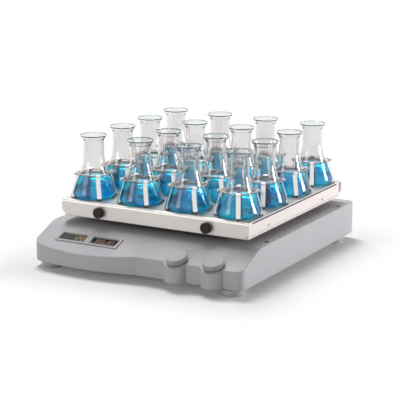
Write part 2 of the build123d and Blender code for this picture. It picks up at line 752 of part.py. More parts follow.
# Crank: shaft with the eccentric pin, pulley, counterweight and nut
crank_shaft = eccentric(
    MAIN_BORE / 2,
    CRANK_DISC_RADIUS,
    pulley_bottom,
    main_boss_bottom + MAIN_WIDTH + TOUCH_GAP,
    roof_under - MAIN_WIDTH - TOUCH_GAP,
    seat_bottom + MAIN_WIDTH + 1,
)
with BuildPart() as crank:
    with Locations((0, drive_y)):
        add(crank_shaft)
save(crank.part, "crank_shaft")

crank_bore = MAIN_BORE / 2 + JOINT_GAP / 4
web_holes = 6
with BuildPart() as crank_pulley:
    with Locations((0, drive_y, pulley_bottom)):
        add(pulley(CRANK_PULLEY_RADIUS, crank_bore, pulley_bottom))
    with BuildSketch(Plane.XY.offset(pulley_bottom)):
        with Locations((0, drive_y)):
            Circle(CRANK_PULLEY_RADIUS - 6)
            Circle(CRANK_HUB_RADIUS, mode=Mode.SUBTRACT)
    extrude(amount=pulley_top - pulley_bottom - 4, mode=Mode.SUBTRACT)
    with BuildSketch(Plane.XY.offset(pulley_bottom)):
        with Locations((0, drive_y)):
            with PolarLocations((CRANK_PULLEY_RADIUS + CRANK_HUB_RADIUS) / 2, web_holes, start_angle=30):
                Circle(9)
    extrude(amount=pulley_top - pulley_bottom, mode=Mode.SUBTRACT)
    with BuildSketch(Plane.XY.offset(pulley_bottom)):
        with Locations((0, drive_y)):
            Circle(SHAFT_NUT_RADIUS + MOVING_GAP)
    extrude(amount=SHAFT_NUT_HEIGHT, mode=Mode.SUBTRACT)
save(crank_pulley.part, "crank_pulley")

with BuildPart() as pulley_nut:
    with BuildSketch(Plane.XY.offset(pulley_bottom)):
        with Locations((0, drive_y)):
            RegularPolygon(SHAFT_NUT_RADIUS, 6)
            Circle(crank_bore, mode=Mode.SUBTRACT)
    extrude(amount=SHAFT_NUT_HEIGHT)
save(pulley_nut.part, "pulley_nut")

with BuildPart() as counterweight:
    with BuildSketch(Plane.XY.offset(pulley_top)):
        with Locations((0, drive_y)):
            Circle(WEIGHT_RADIUS)
        with Locations((0, drive_y + WEIGHT_RADIUS / 2 + 8)):
            Rectangle(2 * WEIGHT_RADIUS, WEIGHT_RADIUS, mode=Mode.SUBTRACT)
        with Locations((0, drive_y)):
            Circle(WEIGHT_INNER)
            Circle(crank_bore, mode=Mode.SUBTRACT)
    extrude(amount=WEIGHT_HEIGHT)
    fillet(counterweight.edges().filter_by(Axis.Z).group_by(SortBy.DISTANCE)[-1], 3)
save(counterweight.part, "counterweight")

# Idler cranks keep the carriage square; each one has a clip under its lower bearing
clip_height = 1.2
idler_shaft = eccentric(
    IDLER_BORE / 2,
    IDLER_DISC_RADIUS,
    idler_boss_bottom - TOUCH_GAP - clip_height - 1,
    idler_boss_bottom + IDLER_WIDTH + TOUCH_GAP,
    roof_under - IDLER_WIDTH - TOUCH_GAP,
    seat_bottom + IDLER_WIDTH + 1,
)
for number, (x, y) in enumerate(idler_places, start=1):
    with BuildPart() as idler:
        with Locations((x, y)):
            add(idler_shaft)
        with BuildSketch(Plane.XY.offset(idler_boss_bottom - TOUCH_GAP - clip_height)):
            with Locations((x, y)):
                Circle(IDLER_BORE / 2 + 2)
        extrude(amount=clip_height)
    save(idler.part, f"idler_crank_{number}")

# Motor under the roof on a bracket, its pulley and the ribbed belt
with BuildPart() as motor:
    with BuildSketch(Plane.XY.offset(motor_bottom)):
        with Locations((-MOTOR_DISTANCE, drive_y)):
            Circle(MOTOR_RADIUS)
    extrude(amount=MOTOR_HEIGHT)
    fillet(motor.edges().group_by(Axis.Z)[0], 3)
    with BuildSketch(Plane.XY.offset(motor_bottom)):
        with Locations((-MOTOR_DISTANCE, drive_y)):
            Circle(MOTOR_SHAFT_RADIUS + SHAFT_FIT)
    extrude(amount=MOTOR_HEIGHT - 3, mode=Mode.SUBTRACT)
    with BuildSketch(Plane.XY.offset(motor_bottom)):
        with Locations((-MOTOR_DISTANCE, drive_y)):
            with PolarLocations(MOTOR_RADIUS * 0.62, 8):
                SlotOverall(8, 3)
    extrude(amount=4, mode=Mode.SUBTRACT)
save(motor.part, "motor")

with BuildPart() as motor_bracket:
    with BuildSketch(Plane.XY.offset(motor_top)):
        with Locations(motor_posts + [(-MOTOR_DISTANCE, drive_y)]):
            Circle(SCREW_RADIUS + BOSS_WALL)
        make_hull()
        with Locations((-MOTOR_DISTANCE, drive_y)):
            Circle(MOTOR_RADIUS * 0.75)
        with Locations(motor_posts):
            Circle(SCREW_RADIUS + 2 * JOINT_GAP, mode=Mode.SUBTRACT)
    extrude(amount=BRACKET_SHEET)
save(motor_bracket.part, "motor_bracket")

with BuildPart() as motor_pulley:
    with Locations((-MOTOR_DISTANCE, drive_y, pulley_bottom)):
        add(pulley(MOTOR_PULLEY_RADIUS, MOTOR_SHAFT_RADIUS + JOINT_GAP / 4, pulley_bottom))
save(motor_pulley.part, "motor_pulley")

with BuildPart() as motor_shaft:
    with BuildSketch(Plane.XY.offset(pulley_bottom)):
        with Locations((-MOTOR_DISTANCE, drive_y)):
            Circle(MOTOR_SHAFT_RADIUS)
    extrude(amount=motor_top - pulley_bottom - 4)
    chamfer(motor_shaft.edges().group_by(Axis.Z)[0], 0.5)
save(motor_shaft.part, "motor_shaft")

belt_plane = Plane(
    origin=(0, drive_y, groove_bottom + MOVING_GAP), x_dir=(-1, 0, 0), z_dir=(0, 0, 1)
)
with BuildPart() as drive_belt:
    with BuildSketch(belt_plane):
        inner_gap = TOUCH_GAP
        outer_gap = TOUCH_GAP + BELT_THICKNESS
        add(
            make_face(
                belt_line(
                    CRANK_PULLEY_RADIUS + outer_gap, MOTOR_PULLEY_RADIUS + outer_gap, MOTOR_DISTANCE
                ),
                mode=Mode.PRIVATE,
            )
        )
        add(
            make_face(
                belt_line(
                    CRANK_PULLEY_RADIUS + inner_gap, MOTOR_PULLEY_RADIUS + inner_gap, MOTOR_DISTANCE
                ),
                mode=Mode.PRIVATE,
            ),
            mode=Mode.SUBTRACT,
        )
    extrude(amount=BELT_WIDTH)
save(drive_belt.part, "drive_belt")

# Power supply, standing on the bottom plate behind the drive
with BuildPart() as power_supply:
    with BuildSketch(Plane.XY.offset(floor_top)):
        with Locations((SUPPLY_X, rear_y - CASE_WALL - 4 - SUPPLY_DEPTH / 2)):
            RectangleRounded(SUPPLY_LENGTH, SUPPLY_DEPTH, 2)
    extrude(amount=SUPPLY_HEIGHT)
    top = power_supply.faces().sort_by(Axis.Z)[-1]
    with BuildSketch(top):
        with GridLocations(8, 1, 8, 1):
            SlotOverall(36, 3, rotation=90)
    extrude(amount=-1.5, mode=Mode.SUBTRACT)
save(power_supply.part, "power_supply")

# Mains inlet with a socket and a rocker switch side by side in the rear wall
socket_x = INLET_X - INLET_WIDTH / 2 + 3 + SOCKET_WIDTH / 2
rocker_x = INLET_X + INLET_WIDTH / 2 - 3 - ROCKER_WIDTH / 2
rocker_room = MOVING_GAP
flange_y = rear_y + INLET_FLANGE
flange_plane = Plane(origin=(0, flange_y, 0), x_dir=(1, 0, 0), z_dir=(0, -1, 0))
pin_places = [(socket_x + x, inlet_z + z) for x, z in ((-7, -2), (7, -2), (0, 2))]
with BuildPart() as mains_inlet:
    with BuildSketch(flange_plane):
        with Locations((INLET_X, inlet_z)):
            RectangleRounded(INLET_WIDTH + 2 * INLET_RIM, INLET_HEIGHT + 2 * INLET_RIM, 3)
    extrude(amount=INLET_FLANGE)
    chamfer(mains_inlet.faces().sort_by(Axis.Y)[-1].edges(), 0.5)
    with BuildSketch(flange_plane):
        with Locations((INLET_X, inlet_z)):
            Rectangle(INLET_WIDTH, INLET_HEIGHT)
    extrude(amount=INLET_DEPTH)
    with BuildSketch(flange_plane):
        with Locations((socket_x, inlet_z)):
            Rectangle(SOCKET_WIDTH, SOCKET_HEIGHT)
    extrude(amount=SOCKET_DEPTH, mode=Mode.SUBTRACT)
    with BuildSketch(flange_plane.offset(SOCKET_DEPTH)):
        with Locations(pin_places):
            Rectangle(2, 4)
    extrude(amount=-SOCKET_DEPTH + 5)
    with BuildSketch(flange_plane):
        with Locations((rocker_x, inlet_z)):
            Rectangle(ROCKER_WIDTH + 2 * rocker_room, ROCKER_LENGTH + 2 * rocker_room + 1)
    extrude(amount=ROCKER_DEPTH + 4, mode=Mode.SUBTRACT)
    with BuildSketch(Plane.YZ.offset(rocker_x - ROCKER_WIDTH / 2 - rocker_room)):
        with Locations((flange_y - ROCKER_AXIS, inlet_z)):
            Circle(1)
    extrude(amount=ROCKER_WIDTH + 2 * rocker_room)
save(mains_inlet.part, "mains_inlet")

# Rocker on a cross pin of the inlet, stored switched off
rocker_plane = Plane(
    origin=(rocker_x - ROCKER_WIDTH / 2, flange_y - ROCKER_AXIS, inlet_z),
    x_dir=(0, rocker_cos, rocker_sin),
    z_dir=(1, 0, 0),
)
with BuildPart() as power_rocker:
    half_length = ROCKER_LENGTH / 2
    edge_rise = half_length * tan(radians(ROCKER_TILT))
    with BuildSketch(rocker_plane):
        with BuildLine():
            Polyline(
                (-ROCKER_DEPTH / 2, -half_length),
                (ROCKER_AXIS + edge_rise, -half_length),
                (ROCKER_AXIS, 0),
                (ROCKER_AXIS + edge_rise, half_length),
                (-ROCKER_DEPTH / 2, half_length),
                close=True,
            )
        make_face()
        Circle(1 + SHAFT_FIT, mode=Mode.SUBTRACT)
    extrude(amount=ROCKER_WIDTH)
save(power_rocker.part, "power_rocker")

# Carriage: a cast plate on the eccentric pins, with a hub round each bearing
carriage_places = [(x, y + ORBIT_RADIUS) for x, y in idler_places]
main_hub_top = seat_bottom + MAIN_WIDTH + 2
idler_hub_top = seat_bottom + IDLER_WIDTH + 2
with BuildPart() as carriage_plate:
    with BuildSketch(Plane.XY.offset(carriage_bottom)):
        with Locations((0, platform_y)):
            RectangleRounded(CARRIAGE_SIZE, CARRIAGE_SIZE, CARRIAGE_CORNER)
    extrude(amount=CARRIAGE_THICKNESS)
    chamfer(carriage_plate.edges().group_by(Axis.Z)[0], 0.8)
    with BuildSketch(Plane.XY.offset(carriage_bottom)):
        with Locations((0, platform_y)):
            Circle(main_boss_radius)
    extrude(amount=main_hub_top - carriage_bottom)
    with BuildSketch(Plane.XY.offset(carriage_bottom)):
        with Locations(carriage_places):
            Circle(idler_boss_radius)
    extrude(amount=idler_hub_top - carriage_bottom)
    with BuildSketch(Plane.XY.offset(seat_bottom)):
        with Locations((0, platform_y)):
            Circle(MAIN_OUTER / 2)
        with Locations(carriage_places):
            Circle(IDLER_OUTER / 2)
    extrude(amount=main_hub_top - seat_bottom, mode=Mode.SUBTRACT)
    with BuildSketch(Plane.XY.offset(carriage_bottom)):
        with Locations((0, platform_y)):
            Circle(MAIN_OUTER / 2 - 4)
        with Locations(carriage_places):
            Circle(IDLER_OUTER / 2 - 4)
        with Locations(post_places):
            Circle(SCREW_RADIUS + 1 + JOINT_GAP)
        with Locations((0, platform_y)):
            with PolarLocations(72, 4):
                Circle(20)
    extrude(amount=CARRIAGE_THICKNESS, mode=Mode.SUBTRACT)
save(carriage_plate.part, "carriage_plate")

with BuildPart() as carriage_bearings:
    with Locations((0, platform_y, seat_bottom)):
        add(bearing(MAIN_BORE, MAIN_OUTER, MAIN_WIDTH))
    with Locations([(x, y, seat_bottom) for x, y in carriage_places]):
        add(bearing(IDLER_BORE, IDLER_OUTER, IDLER_WIDTH))
save(carriage_bearings.part, "carriage_bearings")

# Hexagonal posts between the carriage and the tray, with their top screws
with BuildPart() as tray_posts:
    with BuildSketch(Plane.XY.offset(carriage_top)):
        with Locations(post_places):
            RegularPolygon(POST_ACROSS / 2, 6, major_radius=False)
    extrude(amount=tray_under - carriage_top)
    with BuildSketch(Plane.XY.offset(carriage_bottom + 1)):
        with Locations(post_places):
            Circle(SCREW_RADIUS + 1)
    extrude(amount=CARRIAGE_THICKNESS - 1)
    with BuildSketch(Plane.XY.offset(tray_under)):
        with Locations(post_places):
            Circle(SCREW_RADIUS + JOINT_GAP)
    extrude(amount=-SCREW_BITE, mode=Mode.SUBTRACT)
save(tray_posts.part, "tray_posts")

with BuildPart() as platform_screws:
    with Locations([(x, y, plate_under) for x, y in post_places]):
        add(flat_screw(SCREW_BITE - 1))
    with Locations([(x, y, flask_floor) for row in flask_places for x, y in row]):
        add(flat_screw(CLAMP_SHEET + SHEET - JOINT_GAP))
save(platform_screws.part, "platform_screws")

# Tray: folded sheet with walls down all round and a rolled lip
side_holes = [(y * SIDE_HOLE_SPACING / 2, PLATE_TOP - SIDE_HOLE_DROP) for y in (-1, 1)]
with BuildPart() as platform_tray:
    with BuildSketch(Plane.XY.offset(tray_bottom)):
        with Locations((0, platform_y)):
            RectangleRounded(2 * tray_half, 2 * tray_half, TRAY_EDGE + 1)
    extrude(amount=TRAY_HEIGHT)
    fillet(platform_tray.edges().group_by(Axis.Z)[-1], TRAY_EDGE)
    fillet(platform_tray.edges().group_by(Axis.Z)[0], SHEET)
    with BuildSketch(Plane.XY.offset(tray_bottom + SHEET)):
        with Locations((0, platform_y)):
            RectangleRounded(2 * (tray_half - SHEET), 2 * (tray_half - SHEET), TRAY_EDGE)
    extrude(amount=TRAY_HEIGHT - 2 * SHEET, mode=Mode.SUBTRACT)
    with BuildSketch(Plane.XY.offset(tray_bottom)):
        with Locations((0, platform_y)):
            RectangleRounded(2 * (tray_half - TRAY_LIP), 2 * (tray_half - TRAY_LIP), TRAY_EDGE)
    extrude(amount=SHEET, mode=Mode.SUBTRACT)
    with Locations([(x, y, plate_under) for x, y in post_places]):
        CounterSinkHole(SCREW_RADIUS, SCREW_RADIUS + SHEET, depth=SHEET, counter_sink_angle=90)
    with BuildSketch(Plane.YZ.offset(-tray_half)):
        with Locations([(platform_y + y, z) for y, z in side_holes]):
            Circle(SIDE_HOLE_RADIUS)
    extrude(amount=2 * tray_half, mode=Mode.SUBTRACT)
    with BuildSketch(thumb_plane(0, 1, tray_half)):
        with Locations([(x * THUMB_X, 0) for x in (-1, 1)]):
            Circle(THUMB_HOLE_RADIUS)
    extrude(amount=-2 * tray_half, mode=Mode.SUBTRACT)
save(platform_tray.part, "platform_tray")

# Threaded inserts behind the tray walls take the thumb screws
with BuildPart() as tray_inserts:
    for x, side in thumb_places:
        with BuildSketch(thumb_plane(x, side, tray_half - SHEET)):
            Circle(THUMB_INSERT_RADIUS)
            Circle(THUMB_RADIUS + SHAFT_FIT, mode=Mode.SUBTRACT)
        extrude(amount=-THUMB_INSERT_LENGTH)
save(tray_inserts.part, "tray_inserts")

# Clamp plate: a sheet folded down in front and behind, screwed on by four thumb screws
half_plate = PLATFORM_SIZE / 2
flange_bottom = PLATE_TOP - FLANGE_HEIGHT
sheet_side = half_plate - SHEET / 2
with BuildPart() as clamp_plate:
    with BuildSketch(Plane.YZ.offset(-half_plate)):
        with BuildLine():
            FilletPolyline(
                (platform_y - sheet_side, flange_bottom),
                (platform_y - sheet_side, PLATE_TOP - SHEET / 2),
                (platform_y + sheet_side, PLATE_TOP - SHEET / 2),
                (platform_y + sheet_side, flange_bottom),
                radius=flange_bend - SHEET / 2,
            )
        trace(line_width=SHEET)
    extrude(amount=PLATFORM_SIZE)
    low_edges = clamp_plate.edges().filter_by(Axis.Y).group_by(Axis.Z)[0]
    fillet(low_edges.filter_by(lambda edge: abs(abs(edge.center().X) - half_plate) < 0.01), FLANGE_CORNER)
    with BuildSketch(thumb_plane(0, 1, half_plate)):
        with Locations([(x * THUMB_X, 0) for x in (-1, 1)]):
            Circle(THUMB_HOLE_RADIUS)
    extrude(amount=-PLATFORM_SIZE, mode=Mode.SUBTRACT)
    with Locations([(x, y, flask_floor) for row in flask_places for x, y in row]):
        CounterSinkHole(SCREW_RADIUS, SCREW_RADIUS + SHEET, depth=2 * SHEET, counter_sink_angle=90)
save(clamp_plate.part, "clamp_plate")

# Flask clamps: four spring legs on a hub, with the last column turned by hand
leg_low = CLAMP_SHEET / 2
with BuildPart() as clamp_leg:
    with BuildSketch(Plane.XZ.offset(-CLAMP_WIDTH / 2)):
        with BuildLine():
            FilletPolyline(
                (0, leg_low),
                (CLAMP_FOOT_RADIUS, leg_low),
                (CLAMP_TOP_RADIUS, CLAMP_HEIGHT),
                (CLAMP_TOP_RADIUS + HOOK_REACH, CLAMP_HEIGHT),
                (CLAMP_TOP_RADIUS + HOOK_REACH, CLAMP_HEIGHT - HOOK_DROP),
                radius=CLAMP_BEND,
            )
        trace(line_width=CLAMP_SHEET)
    extrude(amount=CLAMP_WIDTH)
with BuildPart() as flask_clamp:
    with PolarLocations(0, 4, start_angle=45):
        add(clamp_leg.part)
    with BuildSketch():
        Circle(CLAMP_HUB_RADIUS)
    extrude(amount=CLAMP_SHEET)
    with Locations((0, 0, CLAMP_SHEET)):
        CounterSinkHole(SCREW_RADIUS, SCREW_RADIUS + SHEET, depth=2 * SHEET, counter_sink_angle=90)

# Closed coil spring round each flask, drawn as a plain ring that bulges over the hooks
flask_slope = (FLASK_CONE_RADIUS - FLASK_NECK_RADIUS) / FLASK_SHOULDER_HEIGHT
spring_radius = FLASK_CONE_RADIUS - flask_slope * (SPRING_HEIGHT - SPRING_RADIUS - CLAMP_SHEET)
spring_radius += TOUCH_GAP + SPRING_RADIUS
spring_lead = degrees(acos((spring_radius - SPRING_CORNER) / SPRING_REACH))
with BuildPart() as clamp_spring:
    with BuildLine(Plane.XY.offset(SPRING_HEIGHT)) as spring_path:
        for hook in range(4):
            hook_angle = 90 * hook + 45
            hook_centre = (
                SPRING_REACH * cos(radians(hook_angle)),
                SPRING_REACH * sin(radians(hook_angle)),
            )
            on_flask = CenterArc((0, 0), spring_radius, hook_angle - 90 + spring_lead, 90 - 2 * spring_lead)
            on_hook = CenterArc(hook_centre, SPRING_CORNER, hook_angle - spring_lead, 2 * spring_lead)
            Line(on_flask @ 1, on_hook @ 0)
            next_start = hook_angle + spring_lead
            Line(
                on_hook @ 1,
                (spring_radius * cos(radians(next_start)), spring_radius * sin(radians(next_start))),
            )
    with BuildSketch(Plane(spring_path.wires()[0] @ 0, z_dir=spring_path.wires()[0] % 0)):
        Circle(SPRING_RADIUS)
    sweep(path=spring_path.wires()[0])

# Flasks of glass and the liquid in them
with BuildPart() as flask:
    add(flask_solid(0, 0, FLASK_HEIGHT))
    add(flask_solid(FLASK_WALL, FLASK_FLOOR, FLASK_HEIGHT), mode=Mode.SUBTRACT)
    chamfer(flask.edges().group_by(Axis.Z)[-1], 0.4)
with BuildPart() as liquid:
    add(flask_solid(FLASK_WALL + JOINT_GAP, FLASK_FLOOR + JOINT_GAP, FLASK_HEIGHT))
    split(bisect_by=Plane.XY.offset(LIQUID_DEPTH), keep=Keep.BOTTOM)

clamp_turns = [(0, 0, 0, turn - 45) for turn in LAST_COLUMN_TURNS]
for number, (row, turns) in enumerate(zip(flask_places, clamp_turns), start=1):
    with BuildPart() as row_clamps:
        with Locations([Location((x, y, PLATE_TOP), (0, 0, turn)) for (x, y), turn in zip(row, turns)]):
            add(flask_clamp.part)
    save(row_clamps.part, f"flask_clamps_{number}")
    with BuildPart() as row_flasks:
        with Locations([(x, y, flask_floor) for x, y in row]):
            add(flask.part)
    save(row_flasks.part, f"flasks_{number}")

all_places = [
    (x, y, turn) for row, turns in zip(flask_places, clamp_turns) for (x, y), turn in zip(row, turns)
]
with BuildPart() as clamp_springs:
    with Locations([Location((x, y, PLATE_TOP), (0, 0, turn)) for x, y, turn in all_places]):
        add(clamp_spring.part)
save(clamp_springs.part, "clamp_springs")

with BuildPart() as flask_liquid:
    with Locations([(x, y, flask_floor) for x, y, turn in all_places]):
        add(liquid.part)
save(flask_liquid.part, "flask_liquid")

# Thumb screws: each one turns in its washer, and the washer rides out with it
head_start = THUMB_WASHER_HEIGHT + 2 * TOUCH_GAP
shank_end = half_plate - tray_half + SHEET + THUMB_INSERT_LENGTH - 2
for number, (x, side) in enumerate(thumb_places, start=1):
    with BuildPart() as washer:
        with BuildSketch(thumb_plane(x, side, half_plate + TOUCH_GAP)):
            Circle(THUMB_WASHER_RADIUS)
            Circle(THUMB_RADIUS + 2 * SHAFT_FIT, mode=Mode.SUBTRACT)
        extrude(amount=THUMB_WASHER_HEIGHT)
    save(washer.part, f"thumb_washer_{number}")

    with BuildPart() as thumb_screw:
        with BuildSketch(thumb_plane(x, side, half_plate + head_start)):
            Circle(THUMB_HEAD_RADIUS)
        extrude(amount=THUMB_HEAD_HEIGHT)
        outer_face = thumb_screw.faces().sort_by(Axis.Y)[-1 if side > 0 else 0]
        chamfer(outer_face.edges(), 0.8)
        with BuildSketch(thumb_plane(x, side, half_plate + head_start)):
            with PolarLocations(THUMB_HEAD_RADIUS, THUMB_FLUTES):
                Circle(THUMB_FLUTE_RADIUS)
        extrude(amount=THUMB_HEAD_HEIGHT, mode=Mode.SUBTRACT)
        with BuildSketch(thumb_plane(x, side, half_plate + head_start)):
            Circle(THUMB_RADIUS)
        extrude(amount=-head_start - shank_end)
    save(thumb_screw.part, f"thumb_screw_{number}")
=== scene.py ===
# %% [markdown]
# # Bench orbital shaker with flasks
# A CAD model gives every rigid piece its size and its place. This script dresses that model:
# it gives each piece its finish, adds the fine pieces that CAD leaves plain, and sets up the
# light, the floor and the camera. All of it could be modelled here from nothing, but then the
# moving parts would have to be fitted by eye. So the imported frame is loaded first, and
# everything else hangs on it.

from math import acos, cos, pi, radians, sin

import bpy
from mathutils import Matrix, Vector


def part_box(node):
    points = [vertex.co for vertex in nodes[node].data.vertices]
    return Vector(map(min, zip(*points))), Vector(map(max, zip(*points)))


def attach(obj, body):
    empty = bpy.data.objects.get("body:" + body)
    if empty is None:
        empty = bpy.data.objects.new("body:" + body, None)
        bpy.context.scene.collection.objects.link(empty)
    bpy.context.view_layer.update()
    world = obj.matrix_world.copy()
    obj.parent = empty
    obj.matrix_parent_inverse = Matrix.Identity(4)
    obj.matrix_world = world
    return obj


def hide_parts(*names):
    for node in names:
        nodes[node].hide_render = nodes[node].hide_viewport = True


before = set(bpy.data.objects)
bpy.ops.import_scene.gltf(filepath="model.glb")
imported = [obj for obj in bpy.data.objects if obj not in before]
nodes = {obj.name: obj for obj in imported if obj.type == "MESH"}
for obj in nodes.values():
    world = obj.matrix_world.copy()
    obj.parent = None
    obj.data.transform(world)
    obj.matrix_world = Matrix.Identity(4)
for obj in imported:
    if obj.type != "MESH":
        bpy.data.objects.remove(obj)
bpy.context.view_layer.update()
print("pieces in the frame:", len(nodes))

# %% [markdown]
# ## Places that the fine pieces share
# The control panel slopes down to the front of the case, and carries the displays and the
# printed marks. The height of each could be worked out by hand. A small plane, given by a
# point and three directions, does that once: `on_panel` takes millimetres across the panel,
# up its slope and out of it. The plane starts from the box of the case, so it follows the
# case if the CAD moves it.

# %% The panel's own plane
mm = 0.001
housing_low, housing_high = map(Vector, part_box("base_housing"))
panel_angle = radians(22)
panel_run = 58 * mm
bulge_reach = 13.5 * mm
panel_across = Vector((1, 0, 0))
panel_up = Vector((0, cos(panel_angle), sin(panel_angle)))
panel_out = Vector((0, -sin(panel_angle), cos(panel_angle)))
panel_break = Vector((0, housing_low.y + bulge_reach + panel_run, housing_high.z))


def on_panel(across, up, out=0.0):
    """A point by its millimetres across the panel, up its slope and out of it."""
    return panel_break + (panel_across * across + panel_up * up + panel_out * out) * mm


panel_length = panel_run / mm / cos(panel_angle)
print("front edge of the panel:", [round(v, 4) for v in on_panel(0, -panel_length)])

# %% [markdown]
# ## A helper for finishes
# Paint, moulded plastic and metal differ in three things: how the colour wanders, how rough
# the surface is, and how fine its grain is. Image textures could show that, but they need a
# map on every piece, and the frame's pieces have none. Noise needs no map. One node set
# covers all three: a slow noise shifts the colour a little, and a fine noise shifts the
# roughness and feeds a bump. The noise runs on object coordinates, because all the pieces
# share one space of metres, so the grain has the same size on each.

# %% Finish with grain
slow_scale = 14.0
rough_spread = 0.06
least_rough = 0.02


def shaded(tree, noise, first, second, ends):
    """Run the base colour from the first to the second between two values of the noise."""
    shades = tree.nodes.new("ShaderNodeValToRGB")
    shades.name = "shades"
    for stop, colour, position in zip(shades.color_ramp.elements, (first, second), ends):
        stop.color = (*colour, 1)
        stop.position = position
    tree.links.new(noise.outputs["Fac"], shades.inputs["Fac"])
    tree.links.new(shades.outputs["Color"], tree.nodes["Principled BSDF"].inputs["Base Color"])


def grained(name, colour, rough, grain=900.0, depth=0.02, drift=0.06, metal=0.0,
            stretch=(1, 1, 1)):
    """A material whose colour, roughness and surface all vary; the depth is in millimetres."""
    material = bpy.data.materials.new(name)
    material.use_nodes = True
    tree = material.node_tree
    shader = tree.nodes["Principled BSDF"]
    shader.inputs["Metallic"].default_value = metal
    place = tree.nodes.new("ShaderNodeTexCoord")
    scale = tree.nodes.new("ShaderNodeMapping")
    scale.inputs["Scale"].default_value = stretch
    tree.links.new(place.outputs["Object"], scale.inputs["Vector"])

    slow = tree.nodes.new("ShaderNodeTexNoise")
    slow.inputs["Scale"].default_value = slow_scale
    slow.inputs["Detail"].default_value = 3.0
    fine = tree.nodes.new("ShaderNodeTexNoise")
    fine.inputs["Scale"].default_value = grain
    fine.inputs["Detail"].default_value = 2.0
    for noise in (slow, fine):
        tree.links.new(scale.outputs["Vector"], noise.inputs["Vector"])

    darker, lighter = (
        [min(1.0, channel * lift) for channel in colour] for lift in (1 - drift, 1 + drift)
    )
    shaded(tree, slow, darker, lighter, (0.3, 0.7))

    gloss = tree.nodes.new("ShaderNodeMapRange")
    gloss.inputs["To Min"].default_value = max(least_rough, rough - rough_spread)
    gloss.inputs["To Max"].default_value = rough + rough_spread
    tree.links.new(fine.outputs["Fac"], gloss.inputs["Value"])
    tree.links.new(gloss.outputs["Result"], shader.inputs["Roughness"])

    bump = tree.nodes.new("ShaderNodeBump")
    bump.inputs["Strength"].default_value = 1.0
    bump.inputs["Distance"].default_value = depth * mm
    tree.links.new(fine.outputs["Fac"], bump.inputs["Height"])
    tree.links.new(bump.outputs["Normal"], shader.inputs["Normal"])
    return material


# %% [markdown]
# ## Finishes of the case and the controls
# The cast case has a fine powder coat in a cool grey. The knobs are moulded in a darker grey
# with a finer surface, the feet are grey rubber, and the display frame is a plastic insert.
# One grey for all of them would be quicker, but on the real thing each takes the light in its
# own way. A small drift of colour keeps each from looking like a flat fill. Powder coat and
# matt plastic mirror less than a polished surface, so three of them get a lower specular
# level.

# %% Paint, plastic and rubber
case_paint = grained("case_paint", (0.44, 0.43, 0.455), 0.48, grain=1400, depth=0.012, drift=0.02)
knob_plastic = grained(
    "knob_plastic", (0.345, 0.335, 0.35), 0.46, grain=2500, depth=0.006, drift=0.02
)
plug_plastic = grained("plug_plastic", (0.05, 0.045, 0.05), 0.5, grain=2500, depth=0.006)
foot_rubber = grained("foot_rubber", (0.44, 0.43, 0.445), 0.62, grain=1800, depth=0.02)
bezel_plastic = grained(
    "bezel_plastic", (0.33, 0.325, 0.33), 0.5, grain=2500, depth=0.005, drift=0.03
)
black_plastic = grained(
    "black_plastic", (0.012, 0.010, 0.010), 0.55, grain=2200, depth=0.01, drift=0.15
)
board_lacquer = grained("board_lacquer", (0.02, 0.16, 0.06), 0.3, grain=500, drift=0.2)
belt_rubber = grained("belt_rubber", (0.02, 0.02, 0.022), 0.7, grain=1200, depth=0.03, drift=0.1)


def less_mirrored(material, level=0.3):
    """Lower how much of the light a surface mirrors; Blender's own level is 0.5."""
    shader = material.node_tree.nodes["Principled BSDF"]
    shader.inputs["Specular IOR Level"].default_value = level


duller = (case_paint, knob_plastic, black_plastic)
for material in duller:
    less_mirrored(material)
print("finishes that mirror less:", [material.name for material in duller])

# %% [markdown]
# ## Finishes of the platform and the drive
# The clamp plate is satin metal with a warm, almost white look, and the tray below it is
# coated in a pinkish white. The clamps are bright spring steel, rolled along their length,
# and the shafts are turned. Such drawn lines could be modelled as grooves, but they are finer
# than a hair. Stretching the noise along one axis gives the same look without any geometry.

# %% Metals and coatings
rolled_lines, turned_lines = (1, 1, 0.05), (0.1, 0.1, 1)
plate_metal = grained(
    "plate_metal", (0.70, 0.67, 0.64), 0.36, grain=700, depth=0.006, drift=0.02, metal=0.5
)
tray_paint = grained("tray_paint", (0.79, 0.73, 0.715), 0.45, grain=1400, depth=0.01, drift=0.02)
carriage_paint = grained("carriage_paint", (0.20, 0.185, 0.19), 0.5, grain=1400, drift=0.1)
clamp_steel = grained(
    "clamp_steel", (0.78, 0.77, 0.76), 0.2, grain=1500, depth=0.004, drift=0.04, metal=1.0,
    stretch=rolled_lines,
)
spring_steel = grained(
    "spring_steel", (0.50, 0.44, 0.40), 0.3, grain=3000, depth=0.004, metal=1.0
)
zinc_plate = grained(
    "zinc_plate", (0.66, 0.66, 0.67), 0.33, grain=300, depth=0.01, drift=0.08, metal=1.0
)
turned_steel = grained(
    "turned_steel", (0.72, 0.72, 0.73), 0.22, grain=1800, depth=0.006, drift=0.03, metal=1.0,
    stretch=turned_lines,
)
cast_aluminium = grained("cast_aluminium", (0.70, 0.70, 0.72), 0.4, depth=0.03, metal=1.0)
cast_iron = grained(
    "cast_iron", (0.12, 0.12, 0.125), 0.6, grain=700, depth=0.06, drift=0.15, metal=0.6
)
motor_enamel = grained(
    "motor_enamel", (0.03, 0.03, 0.034), 0.35, grain=1200, depth=0.01, drift=0.1
)
print("materials so far:", len(bpy.data.materials))

# %% [markdown]
# ## Glass and liquid
# The flasks are clear laboratory glass, and the liquid in them is water with a blue dye. A
# see-through shader without refraction would render faster, but it doesn't bend the flasks
# behind, and that bending is half of what makes the photograph read as glass. The liquid gets
# water's lower bending power. Its colour wanders between a deeper and a greener blue, as the
# dye does where light takes a longer or a shorter way through it. One helper mixes two colours
# with a slow noise, and serves the glass, the liquid and the display windows.

# %% Clear materials
cloud_scale = 22.0


